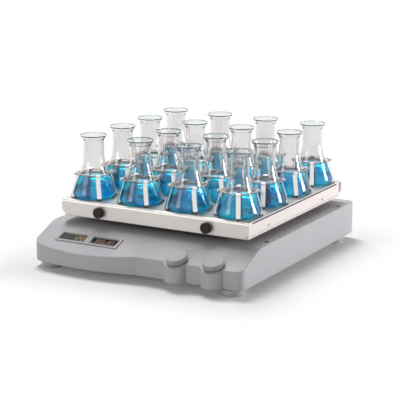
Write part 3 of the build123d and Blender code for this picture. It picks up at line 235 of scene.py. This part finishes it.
def clear(name, first, second, bending, rough=0.0):
    """A refracting material whose colour wanders slowly from the first to the second."""
    material = bpy.data.materials.new(name)
    material.use_nodes = True
    tree = material.node_tree
    shader = tree.nodes["Principled BSDF"]
    shader.inputs["Transmission Weight"].default_value = 1.0
    shader.inputs["IOR"].default_value = bending
    shader.inputs["Roughness"].default_value = rough
    place = tree.nodes.new("ShaderNodeTexCoord")
    noise = tree.nodes.new("ShaderNodeTexNoise")
    noise.inputs["Scale"].default_value = cloud_scale
    tree.links.new(place.outputs["Object"], noise.inputs["Vector"])
    shaded(tree, noise, first, second, (0.35, 0.65))
    return material


flask_glass = clear("flask_glass", (0.85, 0.835, 0.835), (0.90, 0.885, 0.885), 1.47)
blue_liquid = clear("blue_liquid", (0.0004, 0.50, 0.92), (0.0002, 0.80, 0.92), 1.33)
window_glass = clear("window_glass", (0.20, 0.19, 0.185), (0.24, 0.23, 0.22), 1.49, 0.03)
less_mirrored(flask_glass)
print("clear materials:", flask_glass.name, blue_liquid.name, window_glass.name)

# %% [markdown]
# ## A second colour by height
# Two pieces look different from one height on. The beaded rim of a flask is greener than the
# thin wall, because the light runs through more glass there. The feet of the clamps, flat on
# the plate between the flasks, are darker in the photograph than the bright legs; here that
# dark is painted shade, for the shade that the flasks cast on them. Splitting each mesh in two
# with a material each would leave a hard edge. A blend by height, between the material's
# colour and a second one, needs no new mesh and has a soft edge.

# %% Green rims and painted shade on the clamps' feet
rim_green, painted_foot_shade = (0.80, 0.88, 0.87), (0.16, 0.14, 0.13)
green_starts, green_ends = 5 * mm, 1.5 * mm
shade_starts, shade_ends = 4.2 * mm, 3.4 * mm


def tinted(material, start, end, second_colour):
    """Blend a material's colour into a second one from one height to another."""
    tree = material.node_tree
    place = tree.nodes.new("ShaderNodeTexCoord")
    height = tree.nodes.new("ShaderNodeSeparateXYZ")
    tree.links.new(place.outputs["Object"], height.inputs["Vector"])
    share = tree.nodes.new("ShaderNodeMapRange")
    share.inputs["From Min"].default_value = start
    share.inputs["From Max"].default_value = end
    tree.links.new(height.outputs["Z"], share.inputs["Value"])
    blend = tree.nodes.new("ShaderNodeMix")
    blend.data_type = "RGBA"
    blend.inputs["B"].default_value = (*second_colour, 1)
    tree.links.new(share.outputs["Result"], blend.inputs["Factor"])
    tree.links.new(tree.nodes["shades"].outputs["Color"], blend.inputs["A"])
    tree.links.new(blend.outputs["Result"], tree.nodes["Principled BSDF"].inputs["Base Color"])


rim_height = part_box("flasks_1")[1][2]
tinted(flask_glass, rim_height - green_starts, rim_height - green_ends, rim_green)
# Painted shade: the clamps' feet turn dark below a small height over the plate, where the flasks
# shade them.
leg_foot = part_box("clamp_plate")[1][2]
tinted(clamp_steel, leg_foot + shade_starts, leg_foot + shade_ends, painted_foot_shade)
print("green from", round((rim_height - green_starts) / mm, 1), "mm up")

# %% [markdown]
# ## Dress the frame
# Each CAD piece keeps its shape and gets one finish. That could be done piece by piece, but a
# plain list of which pieces share a finish is easier to read and to change.

# %% Give each piece its finish
finishes = {
    case_paint: ["base_housing"],
    zinc_plate: ["base_plate", "base_screws", "motor_bracket", "platform_screws", "tray_inserts",
                 "pulley_nut", "thumb_washer_1", "thumb_washer_2", "thumb_washer_3",
                 "thumb_washer_4"],
    foot_rubber: ["feet"],
    plug_plastic: ["roof_plugs"],
    bezel_plastic: ["display_bezel"],
    window_glass: ["display_windows"],
    board_lacquer: ["control_board"],
    black_plastic: ["display_modules", "speed_encoder", "timer_encoder", "speed_encoder_wheel",
                    "timer_encoder_wheel", "mains_inlet", "power_rocker", "thumb_screw_1",
                    "thumb_screw_2", "thumb_screw_3", "thumb_screw_4"],
    knob_plastic: ["speed_knob", "timer_knob"],
    turned_steel: ["speed_dial_shaft", "timer_dial_shaft", "crank_bearings", "idler_bearings",
                   "carriage_bearings", "crank_shaft", "motor_shaft", "idler_crank_1",
                   "idler_crank_2", "idler_crank_3", "idler_crank_4"],
    cast_aluminium: ["crank_pulley", "motor_pulley", "power_supply", "tray_posts"],
    cast_iron: ["counterweight"],
    belt_rubber: ["drive_belt"],
    motor_enamel: ["motor"],
    carriage_paint: ["carriage_plate"],
    tray_paint: ["platform_tray"],
    plate_metal: ["clamp_plate"],
    clamp_steel: ["flask_clamps_1", "flask_clamps_2", "flask_clamps_3", "flask_clamps_4"],
    spring_steel: ["clamp_springs"],
    flask_glass: ["flasks_1", "flasks_2", "flasks_3", "flasks_4"],
    blue_liquid: ["flask_liquid"],
}
for material, names in finishes.items():
    for name in names:
        nodes[name].data.materials.clear()
        nodes[name].data.materials.append(material)
undressed = set(nodes) - {name for names in finishes.values() for name in names}
print("pieces without a finish:", sorted(undressed))

# %% [markdown]
# ## Where the flasks stand
# The sixteen flasks stand on a square grid on the clamp plate. Sixteen places could be typed
# in. Working them out from the frame's boxes of the plate and of one row of flasks keeps the
# grid in the middle of the plate.

# %% The grid of flasks
per_row = 4
half_row = (per_row - 1) / 2
pitch = 86.5 * mm
plate_low, plate_high = map(Vector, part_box("clamp_plate"))
grid_middle = (plate_low + plate_high) / 2
flask_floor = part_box("flasks_1")[0][2]
stands = []
for row in range(per_row):
    across = [(column - half_row) * pitch for column in range(per_row)]
    back = grid_middle.y + (row - half_row) * pitch
    stands.append([Vector((x, back, flask_floor)) for x in across])
print("flask floor at", round(flask_floor / mm, 2), "mm")

# %% [markdown]
# ## Round pieces from a half outline
# A flask is blown in a mould and is round about its axis, so half an outline holds its whole
# shape. Blender's spin and subdivision tools could make it, but they round every corner alike.
# Here each corner of the outline gets its own radius as a short arc, and then the outline is
# spun. The mesh is fine and smoothly shaded, because a coarse one shows facets in glass.


# %% Put a mesh in the scene
def placed(name, data):
    """A new object in the scene for a mesh, a curve, a lamp or a camera."""
    piece = bpy.data.objects.new(name, data)
    bpy.context.collection.objects.link(piece)
    return piece


def built(name, vertices, faces):
    """A new object from its points and faces."""
    mesh = bpy.data.meshes.new(name)
    mesh.from_pydata(vertices, [], faces)
    return placed(name, mesh)


# %% Round the corners of an outline
def rounded(corners, steps=8):
    """The outline's points; each corner is (x, z, radius), and radius 0 keeps it sharp."""
    points = []
    for number, (x, z, radius) in enumerate(corners):
        here = Vector((x, z))
        if radius == 0:
            points.append(here)
            continue
        back = (Vector(corners[number - 1][:2]) - here).normalized()
        ahead = (Vector(corners[number + 1][:2]) - here).normalized()
        half = back.angle(ahead) / 2
        middle = here + (back + ahead).normalized() * (radius / sin(half))
        start = here + back * (radius * cos(half) / sin(half)) - middle
        end = here + ahead * (radius * cos(half) / sin(half)) - middle
        turn = start.angle_signed(end)
        for step in range(steps + 1):
            points.append(middle + Matrix.Rotation(-turn * step / steps, 2) @ start)
    return points


# %% Spin an outline at many places
nearly_on_axis = 1e-6


def spun(name, outline, places, around=72):
    """One mesh of round pieces; the outline runs from axis to axis, in millimetres."""
    vertices, faces = [], []
    rings = [point for point in outline if point.x > nearly_on_axis]
    for place in places:
        first = len(vertices)
        for point in rings:
            for side in range(around):
                angle = 2 * pi * side / around
                reach = Vector((cos(angle), sin(angle), 0)) * point.x
                vertices.append(place + (reach + Vector((0, 0, point.y))) * mm)
        for ring in range(len(rings) - 1):
            for side in range(around):
                after = (side + 1) % around
                low, high = first + ring * around, first + (ring + 1) * around
                faces.append((low + side, low + after, high + after, high + side))
        for ring, tip, flip in ((0, outline[0], True), (len(rings) - 1, outline[-1], False)):
            vertices.append(place + Vector((0, 0, tip.y)) * mm)
            for side in range(around):
                low = first + ring * around
                fan = (low + side, low + (side + 1) % around, len(vertices) - 1)
                faces.append(fan[::-1] if flip else fan)
    piece = built(name, vertices, faces)
    piece.data.shade_smooth()
    return piece


# %% [markdown]
# ## Flasks
# The flask is the conical kind with a wide neck: a flat foot with a round heel, a straight
# cone, a soft shoulder, an upright neck and a beaded rim. A single skin with a thickness added
# by a modifier would be simpler, but its inside would have no floor of its own. So the outline
# goes up the outside, over the rim and down the inside. The foot is pushed up a little in the
# middle, as on real flasks, which gives the bright ring at the bottom.

# %% Blow the flasks
outside = [(0, 1.2, 0), (14, 1.0, 30), (28, 0.0, 6), (36.8, 0.0, 6), (16.4, 56.1, 90),
           (16.4, 91, 8)]
rim = [(20.9, 97.7, 0.9), (22.2, 98.4, 0.9), (20.8, 99.0, 0.9), (19.2, 97.6, 2)]
inside = [(14.7, 90.8, 6), (14.7, 56.2, 92), (34.35, 2.4, 4.5), (14, 3.0, 20), (0, 3.2, 0)]
flask_outline = rounded(outside + rim + inside)
for row in range(per_row):
    name = f"flasks_{row + 1}"
    flasks = spun(f"glass_{name}", flask_outline, stands[row])
    flasks.data.materials.append(flask_glass)
    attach(flasks, "carriage")
    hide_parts(name)
print("points in a flask outline:", len(flask_outline))

# %% [markdown]
# ## Liquid
# The liquid fills the cone to a little over a third of the flask. Its skin creeps up the glass
# at the edge, so the outline ends in a small curve there. It could stop just short of the
# glass, as the CAD's liquid does, but with a gap of air between them both would shine like
# mirrors. So it reaches into the inside wall by a hair.

# %% Fill the flasks
into_wall = 0.06
liquid_top = 35.0
liquid_outline = rounded([
    (0, 3.1, 0), (14, 2.9, 20), (34.35 + into_wall, 2.3, 4.5),
    (22.1 + into_wall, liquid_top + 1.0, 0), (21.4, liquid_top + 0.25, 0),
    (20.2, liquid_top, 0), (0, liquid_top, 0),
])
liquid = spun("dyed_liquid", liquid_outline, [place for row in stands for place in row])
liquid.data.materials.append(blue_liquid)
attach(liquid, "carriage")
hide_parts("flask_liquid")
print("liquid depth in mm:", round(liquid_top - liquid_outline[0].y, 1))

# %% [markdown]
# ## Coil springs round the flasks
# A closed coil spring holds each flask: it lies round the cone and over the four hooks of the
# clamp. CAD has it as a smooth ring, and a striped material on that ring could suggest the
# coils, but its outline would stay smooth. Here a wire winds round the same ring. The ring's
# middle line is found from the direction it faces: over a hook it follows a small circle about
# the hook, and elsewhere it follows the flask.

# %% The spring's middle line
cone_radius, cone_slope = 36.8, 21.8 / 60
spring_level, spring_thick, clamp_sheet, to_glass = 38.3, 1.4, 0.9, 0.3
glass_radius = cone_radius - cone_slope * (spring_level - spring_thick - clamp_sheet)
spring_on_flask = glass_radius + to_glass + spring_thick
hook_bend, hook_reach = 10.0, 19.9
lead = acos((spring_on_flask - hook_bend) / hook_reach)
hook_steps, flask_steps = 8, 4


def spring_line(turned):
    """Points and outward directions round the spring, in millimetres, for a turned clamp."""
    line = []
    for quarter in range(4):
        hook = radians(turned + 45 + 90 * quarter)
        middle = Vector((cos(hook), sin(hook), 0)) * hook_reach
        for step in range(hook_steps + 1):
            facing = hook - lead + 2 * lead * step / hook_steps
            out = Vector((cos(facing), sin(facing), 0))
            line.append((middle + out * hook_bend, out))
        for step in range(flask_steps + 1):
            facing = hook + lead + (pi / 2 - 2 * lead) * step / flask_steps
            out = Vector((cos(facing), sin(facing), 0))
            line.append((out * spring_on_flask, out))
    return line


print("spring radius on the flask:", round(spring_on_flask, 2), "mm")

# %% Wind the wire
shortest_leg = 1e-9


def wound(line, coil, spacing, per_turn=7):
    """Points of a wire that winds round a closed line."""
    lengths = [0.0]
    for number, (point, out) in enumerate(line):
        lengths.append(lengths[-1] + (line[(number + 1) % len(line)][0] - point).length)
    turns = round(lengths[-1] / spacing)
    wire, leg = [], 0
    for step in range(turns * per_turn):
        along = lengths[-1] * step / (turns * per_turn)
        while lengths[leg + 1] < along:
            leg += 1
        share = (along - lengths[leg]) / max(lengths[leg + 1] - lengths[leg], shortest_leg)
        (a, out_a), (b, out_b) = line[leg], line[(leg + 1) % len(line)]
        spin = 2 * pi * step / per_turn
        out = out_a.lerp(out_b, share).normalized()
        wire.append(a.lerp(b, share) + (out * cos(spin) + Vector((0, 0, sin(spin)))) * coil)
    return wire


# %% [markdown]
# ## Springs on the clamps
# The photograph shows the clamps of the right column turned, each by its own angle, and the
# hooks carry the springs with them. All sixteen springs are one curve object with a thin
# bevel: a mesh tube for each would need far more points for the same look.

# %% Lay the springs on the clamps
last_column_turns = (27, 23, 45, 25)
coil_radius, coil_spacing, wire_radius = 1.06, 1.5, 0.34
springs = bpy.data.curves.new("coil_springs", "CURVE")
springs.dimensions = "3D"
springs.bevel_depth = wire_radius * mm
springs.bevel_resolution = 0
springs.use_fill_caps = False
spring_height = plate_high.z + spring_level * mm
for row in range(per_row):
    for column in range(per_row):
        turned = last_column_turns[row] - 45 if column == per_row - 1 else 0
        wire = wound(spring_line(turned), coil_radius, coil_spacing)
        strand = springs.splines.new("POLY")
        strand.points.add(len(wire) - 1)
        strand.use_cyclic_u = True
        middle = Vector((stands[row][column].x, stands[row][column].y, spring_height))
        for point, place in zip(strand.points, wire):
            point.co = (*(middle + place * mm), 1)
spring_piece = placed("coil_springs", springs)
springs.materials.append(spring_steel)
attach(spring_piece, "carriage")
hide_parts("clamp_springs")
print("points on one spring:", len(wire))

# %% [markdown]
# ## Numbers in the two displays
# Each display shows digits made of seven bars that glow. A text object with a display font
# could be used, but fonts differ between machines. A bar is simply a flat strip with pointed
# ends. The strips lie just under the clear window, and one list says which bars stay dark in
# a digit.

# %% Seven bars of a digit
bars = {
    "top": ((0, 1), (1, 1)), "middle": ((0, 0.5), (1, 0.5)), "bottom": ((0, 0), (1, 0)),
    "left_high": ((0, 0.5), (0, 1)), "right_high": ((1, 0.5), (1, 1)),
    "left_low": ((0, 0), (0, 0.5)), "right_low": ((1, 0), (1, 0.5)),
}
dark_bars = {
    "0": ["middle"], "1": ["top", "middle", "bottom", "left_high", "left_low"],
    "2": ["left_high", "right_low"], "3": ["left_high", "left_low"],
}
digit_wide, digit_tall, bar_thick, digit_lean, bar_gap = 4.6, 8.6, 1.0, 0.12, 0.25


def digit_bars(digit, left, low):
    """Outlines of the lit bars of one digit, leaning a little to the right."""
    shapes = []
    for bar, ends in bars.items():
        if bar in dark_bars[digit]:
            continue
        a, b = (
            Vector((left + x * digit_wide + z * digit_tall * digit_lean, low + z * digit_tall))
            for x, z in ends
        )
        along = (b - a).normalized()
        across = Vector((-along.y, along.x)) * bar_thick / 2
        a, b = a + along * bar_gap, b - along * bar_gap
        tip = along * bar_thick / 2
        shapes.append([a, a + tip - across, b - tip - across, b, b - tip + across,
                       a + tip + across])
    return shapes


print("bars of an eight:", len(bars))


# %% Set the numbers
def oblong(left, low, wide, tall):
    """Outline of a small upright rectangle."""
    return [(left, low), (left + wide, low), (left + wide, low + tall), (left, low + tall)]


digits_low = -43
speed_left, speed_step = -125, 7.6
timer_left, timer_step, colon_room = -81.5, 8, 2
colon_left, colon_lows, dot = -65.6, (-41.5, -37.5), 1.0
speed_shapes, timer_shapes = [], []
for place, digit in enumerate("120"):
    speed_shapes += digit_bars(digit, speed_left + speed_step * place, digits_low)
for place, digit in enumerate("0030"):
    room = colon_room if place > 1 else 0
    timer_shapes += digit_bars(digit, timer_left + timer_step * place + room, digits_low)
timer_shapes += [oblong(colon_left, low, dot, dot) for low in colon_lows]
print("bars and dots that are lit:", len(speed_shapes) + len(timer_shapes))

# %% [markdown]
# ## Thin slabs on a face
# Digits and printed marks are all thin flat shapes that lie on a face. They could be painted
# by a material, but then every mark would need its own maths in nodes. As slabs with a real
# thickness they keep sharp edges, and one helper makes them all: it takes outlines on a face
# and a function that turns them into points in space.

# %% Slabs from outlines
slab_thick = 0.05


def slab_faces(first, count):
    """Faces of a slab whose two ends have count points each, numbered from first."""
    faces = [tuple(range(first, first + count))[::-1],
             tuple(range(first + count, first + 2 * count))]
    for side in range(count):
        after = (side + 1) % count
        faces.append((first + side, first + after, first + count + after, first + count + side))
    return faces


def flat_piece(name, shapes, material, out, place=on_panel, body="base"):
    """A piece of thin slabs that lie on a face; each shape is a list of (across, up)."""
    vertices, faces = [], []
    for shape in shapes:
        faces += slab_faces(len(vertices), len(shape))
        for level in (out, out + slab_thick):
            vertices += [place(across, up, level) for across, up in shape]
    piece = built(name, vertices, faces)
    piece.data.materials.append(material)
    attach(piece, body)
    return piece


# %% Light the numbers
def lit(name, colour, power):
    """A plastic that also gives off a little light."""
    material = grained(name, colour, 0.4, drift=0.1)
    shader = material.node_tree.nodes["Principled BSDF"]
    shader.inputs["Emission Color"].default_value = (*colour, 1)
    shader.inputs["Emission Strength"].default_value = power
    return material


under_window = -1.16
amber_light = lit("amber_light", (0.75, 0.46, 0.18), 1.1)
red_light = lit("red_light", (0.70, 0.32, 0.26), 0.9)
speed_number = flat_piece("speed_number", speed_shapes, amber_light, under_window)
timer_number = flat_piece("timer_number", timer_shapes, red_light, under_window)
print("numbers:", speed_number.name, timer_number.name)

# %% [markdown]
# ## Printed marks by the knobs
# Above each knob a short white wedge shows which way the value grows, and three ticks stand
# between the knobs. The real ones are screen printed. A decal image would do that, but slabs
# that just rise from the paint need no image and stay sharp from near by.

# %% Print the marks
print_white = grained("print_white", (0.66, 0.66, 0.66), 0.5, drift=0.03)
knob_places, knob_up = (72, 134.5), -55
wedge_reach, wedge_steps = 30, 8
wedge_start, wedge_sweep = 98, 22
wedge_thin, wedge_growth = 0.4, 1.1
tick_left, tick_low, tick_gap, tick_wide, tick_tall = 103.5, -52, 3.2, 2.2, 0.7
printed = []
for across in knob_places:
    inner, outer = [], []
    for step in range(wedge_steps + 1):
        angle = radians(wedge_start - wedge_sweep * step / wedge_steps)
        thick = wedge_thin + wedge_growth * step / wedge_steps
        for edge, radius in ((inner, wedge_reach), (outer, wedge_reach + thick)):
            edge.append((across + radius * cos(angle), knob_up + radius * sin(angle)))
    printed.append(inner[::-1] + outer)
for step in range(3):
    printed.append(oblong(tick_left, tick_low + tick_gap * step, tick_wide, tick_tall))
marks = flat_piece("printed_marks", printed, print_white, 0.0)
print("printed marks:", len(printed))

# %% [markdown]
# ## Marks on the switch
# The rocker switch beside the mains socket carries the usual ring for off and bar for on. Its
# face has two halves, and the one for off is pressed flush while the shaker is off. The other
# stands out at twice the rocker's tilt. The marks could be cut into the CAD rocker, but real
# ones are printed. So they are slabs as on the panel, on a face with a fold in it, and the
# ring is made of short slabs side by side.

# %% The face of the rocker
inlet_low, inlet_high = map(Vector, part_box("mains_inlet"))
rocker_low, rocker_high = map(Vector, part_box("power_rocker"))
rocker_tilt, rocker_axis = radians(8), 2.5 * mm
fold = Vector((
    (rocker_low.x + rocker_high.x) / 2,
    inlet_high.y - rocker_axis * (1 - cos(rocker_tilt)),
    (inlet_low.z + inlet_high.z) / 2 + rocker_axis * sin(rocker_tilt),
))


def on_rocker(across, up, out=0.0):
    """A point by its millimetres across the rocker, up from its fold and out of its face."""
    lean = 0 if up >= 0 else 2 * rocker_tilt
    upward = Vector((0, -sin(lean), cos(lean)))
    outward = Vector((0, cos(lean), sin(lean)))
    return fold + (Vector((across, 0, 0)) + upward * up + outward * out) * mm


print("fold of the rocker:", [round(v, 4) for v in fold])

# %% Print the ring and the bar
ring_middle, ring_outer, ring_inner, ring_slabs = 4.9, 2.3, 1.8, 24
bar_low, bar_wide, bar_tall = -7.0, 0.6, 4.2
switch_marks = [oblong(-bar_wide / 2, bar_low, bar_wide, bar_tall)]
for slab in range(ring_slabs):
    first, last = 2 * pi * slab / ring_slabs, 2 * pi * (slab + 1) / ring_slabs
    ends = ((ring_inner, first), (ring_outer, first), (ring_outer, last), (ring_inner, last))
    switch_marks.append([
        (radius * cos(angle), ring_middle + radius * sin(angle)) for radius, angle in ends
    ])
switch_print = flat_piece("switch_marks", switch_marks, print_white, 0.0, on_rocker, "rocker")
print("slabs on the switch:", len(switch_marks))

# %% [markdown]
# ## Painted shade strips under the clamp plate
# The tray's top edge is rounded, which leaves a groove under the overhanging clamp plate. A
# dark strip fills it along both sides, and it is painted shade: it stands for the shadow in
# the gap under the plate's edge. A dark stripe in the tray's paint would be simpler, but it
# wouldn't fill the groove. The strip is one cross-section, drawn out along the tray.


# %% A straight strip from its cross-section
def strip(name, section, start, end):
    """A bar along Y; the section is a list of (x, z) in metres."""
    vertices = [(x, y, z) for y in (start, end) for x, z in section]
    return built(name, vertices, slab_faces(0, len(section)))


# %% Lay the painted shade strips
tray_low, tray_high = map(Vector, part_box("platform_tray"))
shade_strip_inset, shade_strip_out, shade_strip_in = 14 * mm, 0.9 * mm, 2.2 * mm
top, bottom = tray_high.z - 0.1 * mm, tray_high.z - 3.2 * mm
for name, side in (("left_shade_strip", -1), ("right_shade_strip", 1)):
    outer = side * (tray_high.x + shade_strip_out)
    inner = side * (tray_high.x - shade_strip_in)
    section = [(inner, top), (outer, top), (outer, bottom), (side * tray_high.x, bottom)]
    shade_strip = strip(name, section[::side], tray_low.y + shade_strip_inset, tray_high.y - shade_strip_inset)
    # Painted shade: the strip takes the belt's black rubber so that it reads as the shadow under
    # the plate's edge.
    shade_strip.data.materials.append(belt_rubber)
    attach(shade_strip, "carriage")
print("seal length:", round(shade_strip.dimensions.y, 3))

# %% [markdown]
# ## Hem of the tray
# The tray's walls end in a rolled hem, which stiffens thin sheet and takes away its sharp
# edge. A bevelled curve could follow the edge, but its section would be round. Here the real
# section is drawn once and carried round the tray's outline, corner by corner.


# %% Carry a cross-section round a square with round corners
def carried_round(name, middle, half, corner, section, per_corner=6):
    """A closed ring; the section is a list of (inward, z) in metres from the outline."""
    vertices, faces = [], []
    for quarter in range(4):
        turn = Matrix.Rotation(quarter * pi / 2, 3, "Z")
        centre = middle + turn @ Vector((half - corner, half - corner, 0))
        for step in range(per_corner + 1):
            angle = pi / 2 * step / per_corner
            out = turn @ Vector((cos(angle), sin(angle), 0))
            for inward, z in section:
                vertices.append(centre + out * (corner - inward) + Vector((0, 0, z)))
    count = len(section)
    for number in range(0, len(vertices), count):
        after = (number + count) % len(vertices)
        for side in range(count):
            up = (side + 1) % count
            faces.append((number + side, number + up, after + up, after + side))
    return built(name, vertices, faces)


# %% Roll the hem
tray_middle = (tray_low + tray_high) / 2
tray_middle.z = tray_low.z
hem_corner, hem_thick, hem_low = 3.5 * mm, 1.9 * mm, -3.2 * mm
hem_section = [(hem_thick, 0.2 * mm), (hem_thick, -2.4 * mm), (1.5 * mm, -3.0 * mm),
               (0.6 * mm, hem_low), (0.1 * mm, -2.6 * mm), (0.0, 0.0)]
tray_hem = carried_round("tray_hem", tray_middle, tray_high.x, hem_corner, hem_section)
tray_hem.data.materials.append(tray_paint)
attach(tray_hem, "carriage")
print("hem reaches down to", round((tray_low.z + hem_low) / mm, 1), "mm")

# %% [markdown]
# ## Camera
# The camera stands where the photograph was taken from: a long lens, about 29 degrees to the
# right of the front and 13 degrees above the bench. It could be aimed at a target object, but
# its place and turn came from lining up the case, the platform and the flask rims with the
# photograph, so they are set as they were found.

# %% Place the camera
look_down, turn_left = 0.234527, 0.510372
camera = placed("camera", bpy.data.cameras.new("camera"))
camera.location = (1.17744, -2.09638, 0.66160)
camera.rotation_euler = (pi / 2 - look_down, 0, turn_left)
camera.data.lens = 137.806
camera.data.sensor_width = 36
bpy.context.scene.camera = camera
print("camera height:", round(camera.location.z, 3))

# %% [markdown]
# ## Floor and background
# The photograph is cut out on white with a soft shadow round the shaker. More light would
# whiten the floor, but it would wash out the shaker too. Instead the floor is a pale plane
# that takes the shadow, and plain white is mixed in for rays that come straight from the
# camera, through glass or off metal: very little by the shaker, so that the shadow stays deep
# there, and all of it further out, so that the floor ends in white.


# %% Tell which rays the eye sees
def seen_by_eye(tree):
    """A socket that is 1 for rays from the camera, through glass or off metal, and else 0."""
    rays = tree.nodes.new("ShaderNodeLightPath")
    seen = rays.outputs["Is Camera Ray"]
    for kind in ("Is Transmission Ray", "Is Glossy Ray"):
        either = tree.nodes.new("ShaderNodeMath")
        either.operation = "MAXIMUM"
        tree.links.new(seen, either.inputs[0])
        tree.links.new(rays.outputs[kind], either.inputs[1])
        seen = either.outputs[0]
    return seen


# %% Distance from a box in nodes
def distance_from_box(tree, middle, half):
    """A socket with each point's distance from an upright box, and 0 inside it."""
    reach = tree.nodes.new("ShaderNodeTexCoord").outputs["Object"]
    steps = (("SUBTRACT", middle), ("ABSOLUTE", None), ("SUBTRACT", half), ("MAXIMUM", (0, 0, 0)))
    for operation, value in steps:
        step = tree.nodes.new("ShaderNodeVectorMath")
        step.operation = operation
        tree.links.new(reach, step.inputs[0])
        if value is not None:
            step.inputs[1].default_value = value
        reach = step.outputs["Vector"]
    distance = tree.nodes.new("ShaderNodeVectorMath")
    distance.operation = "LENGTH"
    tree.links.new(reach, distance.inputs[0])
    return distance.outputs["Value"]


# %% Pale floor
least_white = 0.05


def pale_floor(middle, half, far):
    """A floor that takes the shadow of a box-shaped thing and fades to white around it."""
    material = bpy.data.materials.new("pale_floor")
    material.use_nodes = True
    tree = material.node_tree
    shader = tree.nodes["Principled BSDF"]
    shader.inputs["Base Color"].default_value = (0.88, 0.86, 0.845, 1)
    shader.inputs["Roughness"].default_value = 0.9
    shader.inputs["Specular IOR Level"].default_value = 0.0
    white = tree.nodes.new("ShaderNodeEmission")
    white.inputs["Color"].default_value = (1, 1, 1, 1)
    glow = tree.nodes.new("ShaderNodeMapRange")
    glow.interpolation_type = "SMOOTHSTEP"
    glow.inputs["From Max"].default_value = far
    glow.inputs["To Min"].default_value = least_white
    tree.links.new(distance_from_box(tree, middle, half), glow.inputs["Value"])
    lift = tree.nodes.new("ShaderNodeMath")
    lift.operation = "MULTIPLY"
    tree.links.new(seen_by_eye(tree), lift.inputs[0])
    tree.links.new(glow.outputs["Result"], lift.inputs[1])
    blend = tree.nodes.new("ShaderNodeMixShader")
    tree.links.new(lift.outputs[0], blend.inputs["Fac"])
    tree.links.new(shader.outputs["BSDF"], blend.inputs[1])
    tree.links.new(white.outputs["Emission"], blend.inputs[2])
    tree.links.new(blend.outputs["Shader"], tree.nodes["Material Output"].inputs["Surface"])
    return material


# %% Lay the floor
floor_size, fade_reach = 30, 0.11
bpy.ops.mesh.primitive_plane_add(size=floor_size, location=(0, 0, 0))
floor = bpy.context.object
floor.name = "floor"
case_middle = (housing_low + housing_high) / 2
case_half = (housing_high - housing_low) / 2
footprint = (case_middle.x, case_middle.y, 0), (case_half.x, case_half.y, 1)
floor.data.materials.append(pale_floor(*footprint, fade_reach))
print("floor size:", floor.dimensions.x)

# %% [markdown]
# ## World and lamps
# The photograph was taken under soft studio light on white. The world is white to the camera
# and to glossy and refracted rays, and a dim grey to the rest, so that it fills the shadows
# without washing out the case. A lit studio round the object could give the same, but it
# takes longer to render. The shadow in the photograph falls to the front and to the right, so
# the main lamp hangs above, a little behind and to the left. A low lamp at the right and
# behind makes the right wall the brightest, and a weak one at the front and left lights the
# front.

# %% White world
shading_level = 0.20
world = bpy.data.worlds.new("studio")
bpy.context.scene.world = world
world.use_nodes = True
sky_tree = world.node_tree
backdrop = sky_tree.nodes["Background"]
backdrop.inputs["Color"].default_value = (1, 1, 1, 1)
sky_level = sky_tree.nodes.new("ShaderNodeMapRange")
sky_level.inputs["To Min"].default_value = shading_level
sky_tree.links.new(seen_by_eye(sky_tree), sky_level.inputs["Value"])
sky_tree.links.new(sky_level.outputs["Result"], backdrop.inputs["Strength"])
print("world light for shading:", shading_level)

# %% Soft lamps
aim = Vector((0, 0, 0.08))
lamps = {
    "top_lamp": ((-0.8, 0.6, 2.3), 1.0, 46),
    "right_lamp": ((2.1, 1.2, 0.42), 0.8, 42),
    "front_lamp": ((-1.3, -2.4, 0.9), 1.2, 17),
}
for name, (place, size, power) in lamps.items():
    lamp = bpy.data.lights.new(name, "AREA")
    lamp.size = size
    lamp.energy = power
    holder = placed(name, lamp)
    holder.location = place
    holder.rotation_euler = (aim - Vector(place)).to_track_quat("-Z", "Y").to_euler()
print("lamps:", len(lamps))

# %% [markdown]
# ## Render limits
# Sixteen flasks stand in rows, so one ray may cross more than twenty glass walls. Blender
# stops at twelve by default and leaves black patches there. Thinner glass wouldn't help, as
# each wall counts, so the limits go up.

# %% Let rays cross many walls of glass
glass_walls = 32
limits = bpy.context.scene.cycles
limits.max_bounces = glass_walls
limits.transmission_bounces = glass_walls
limits.transparent_max_bounces = glass_walls
limits.glossy_bounces = 8
bpy.context.scene.view_settings.view_transform = "Standard"
print("walls of glass per ray:", limits.transmission_bounces)
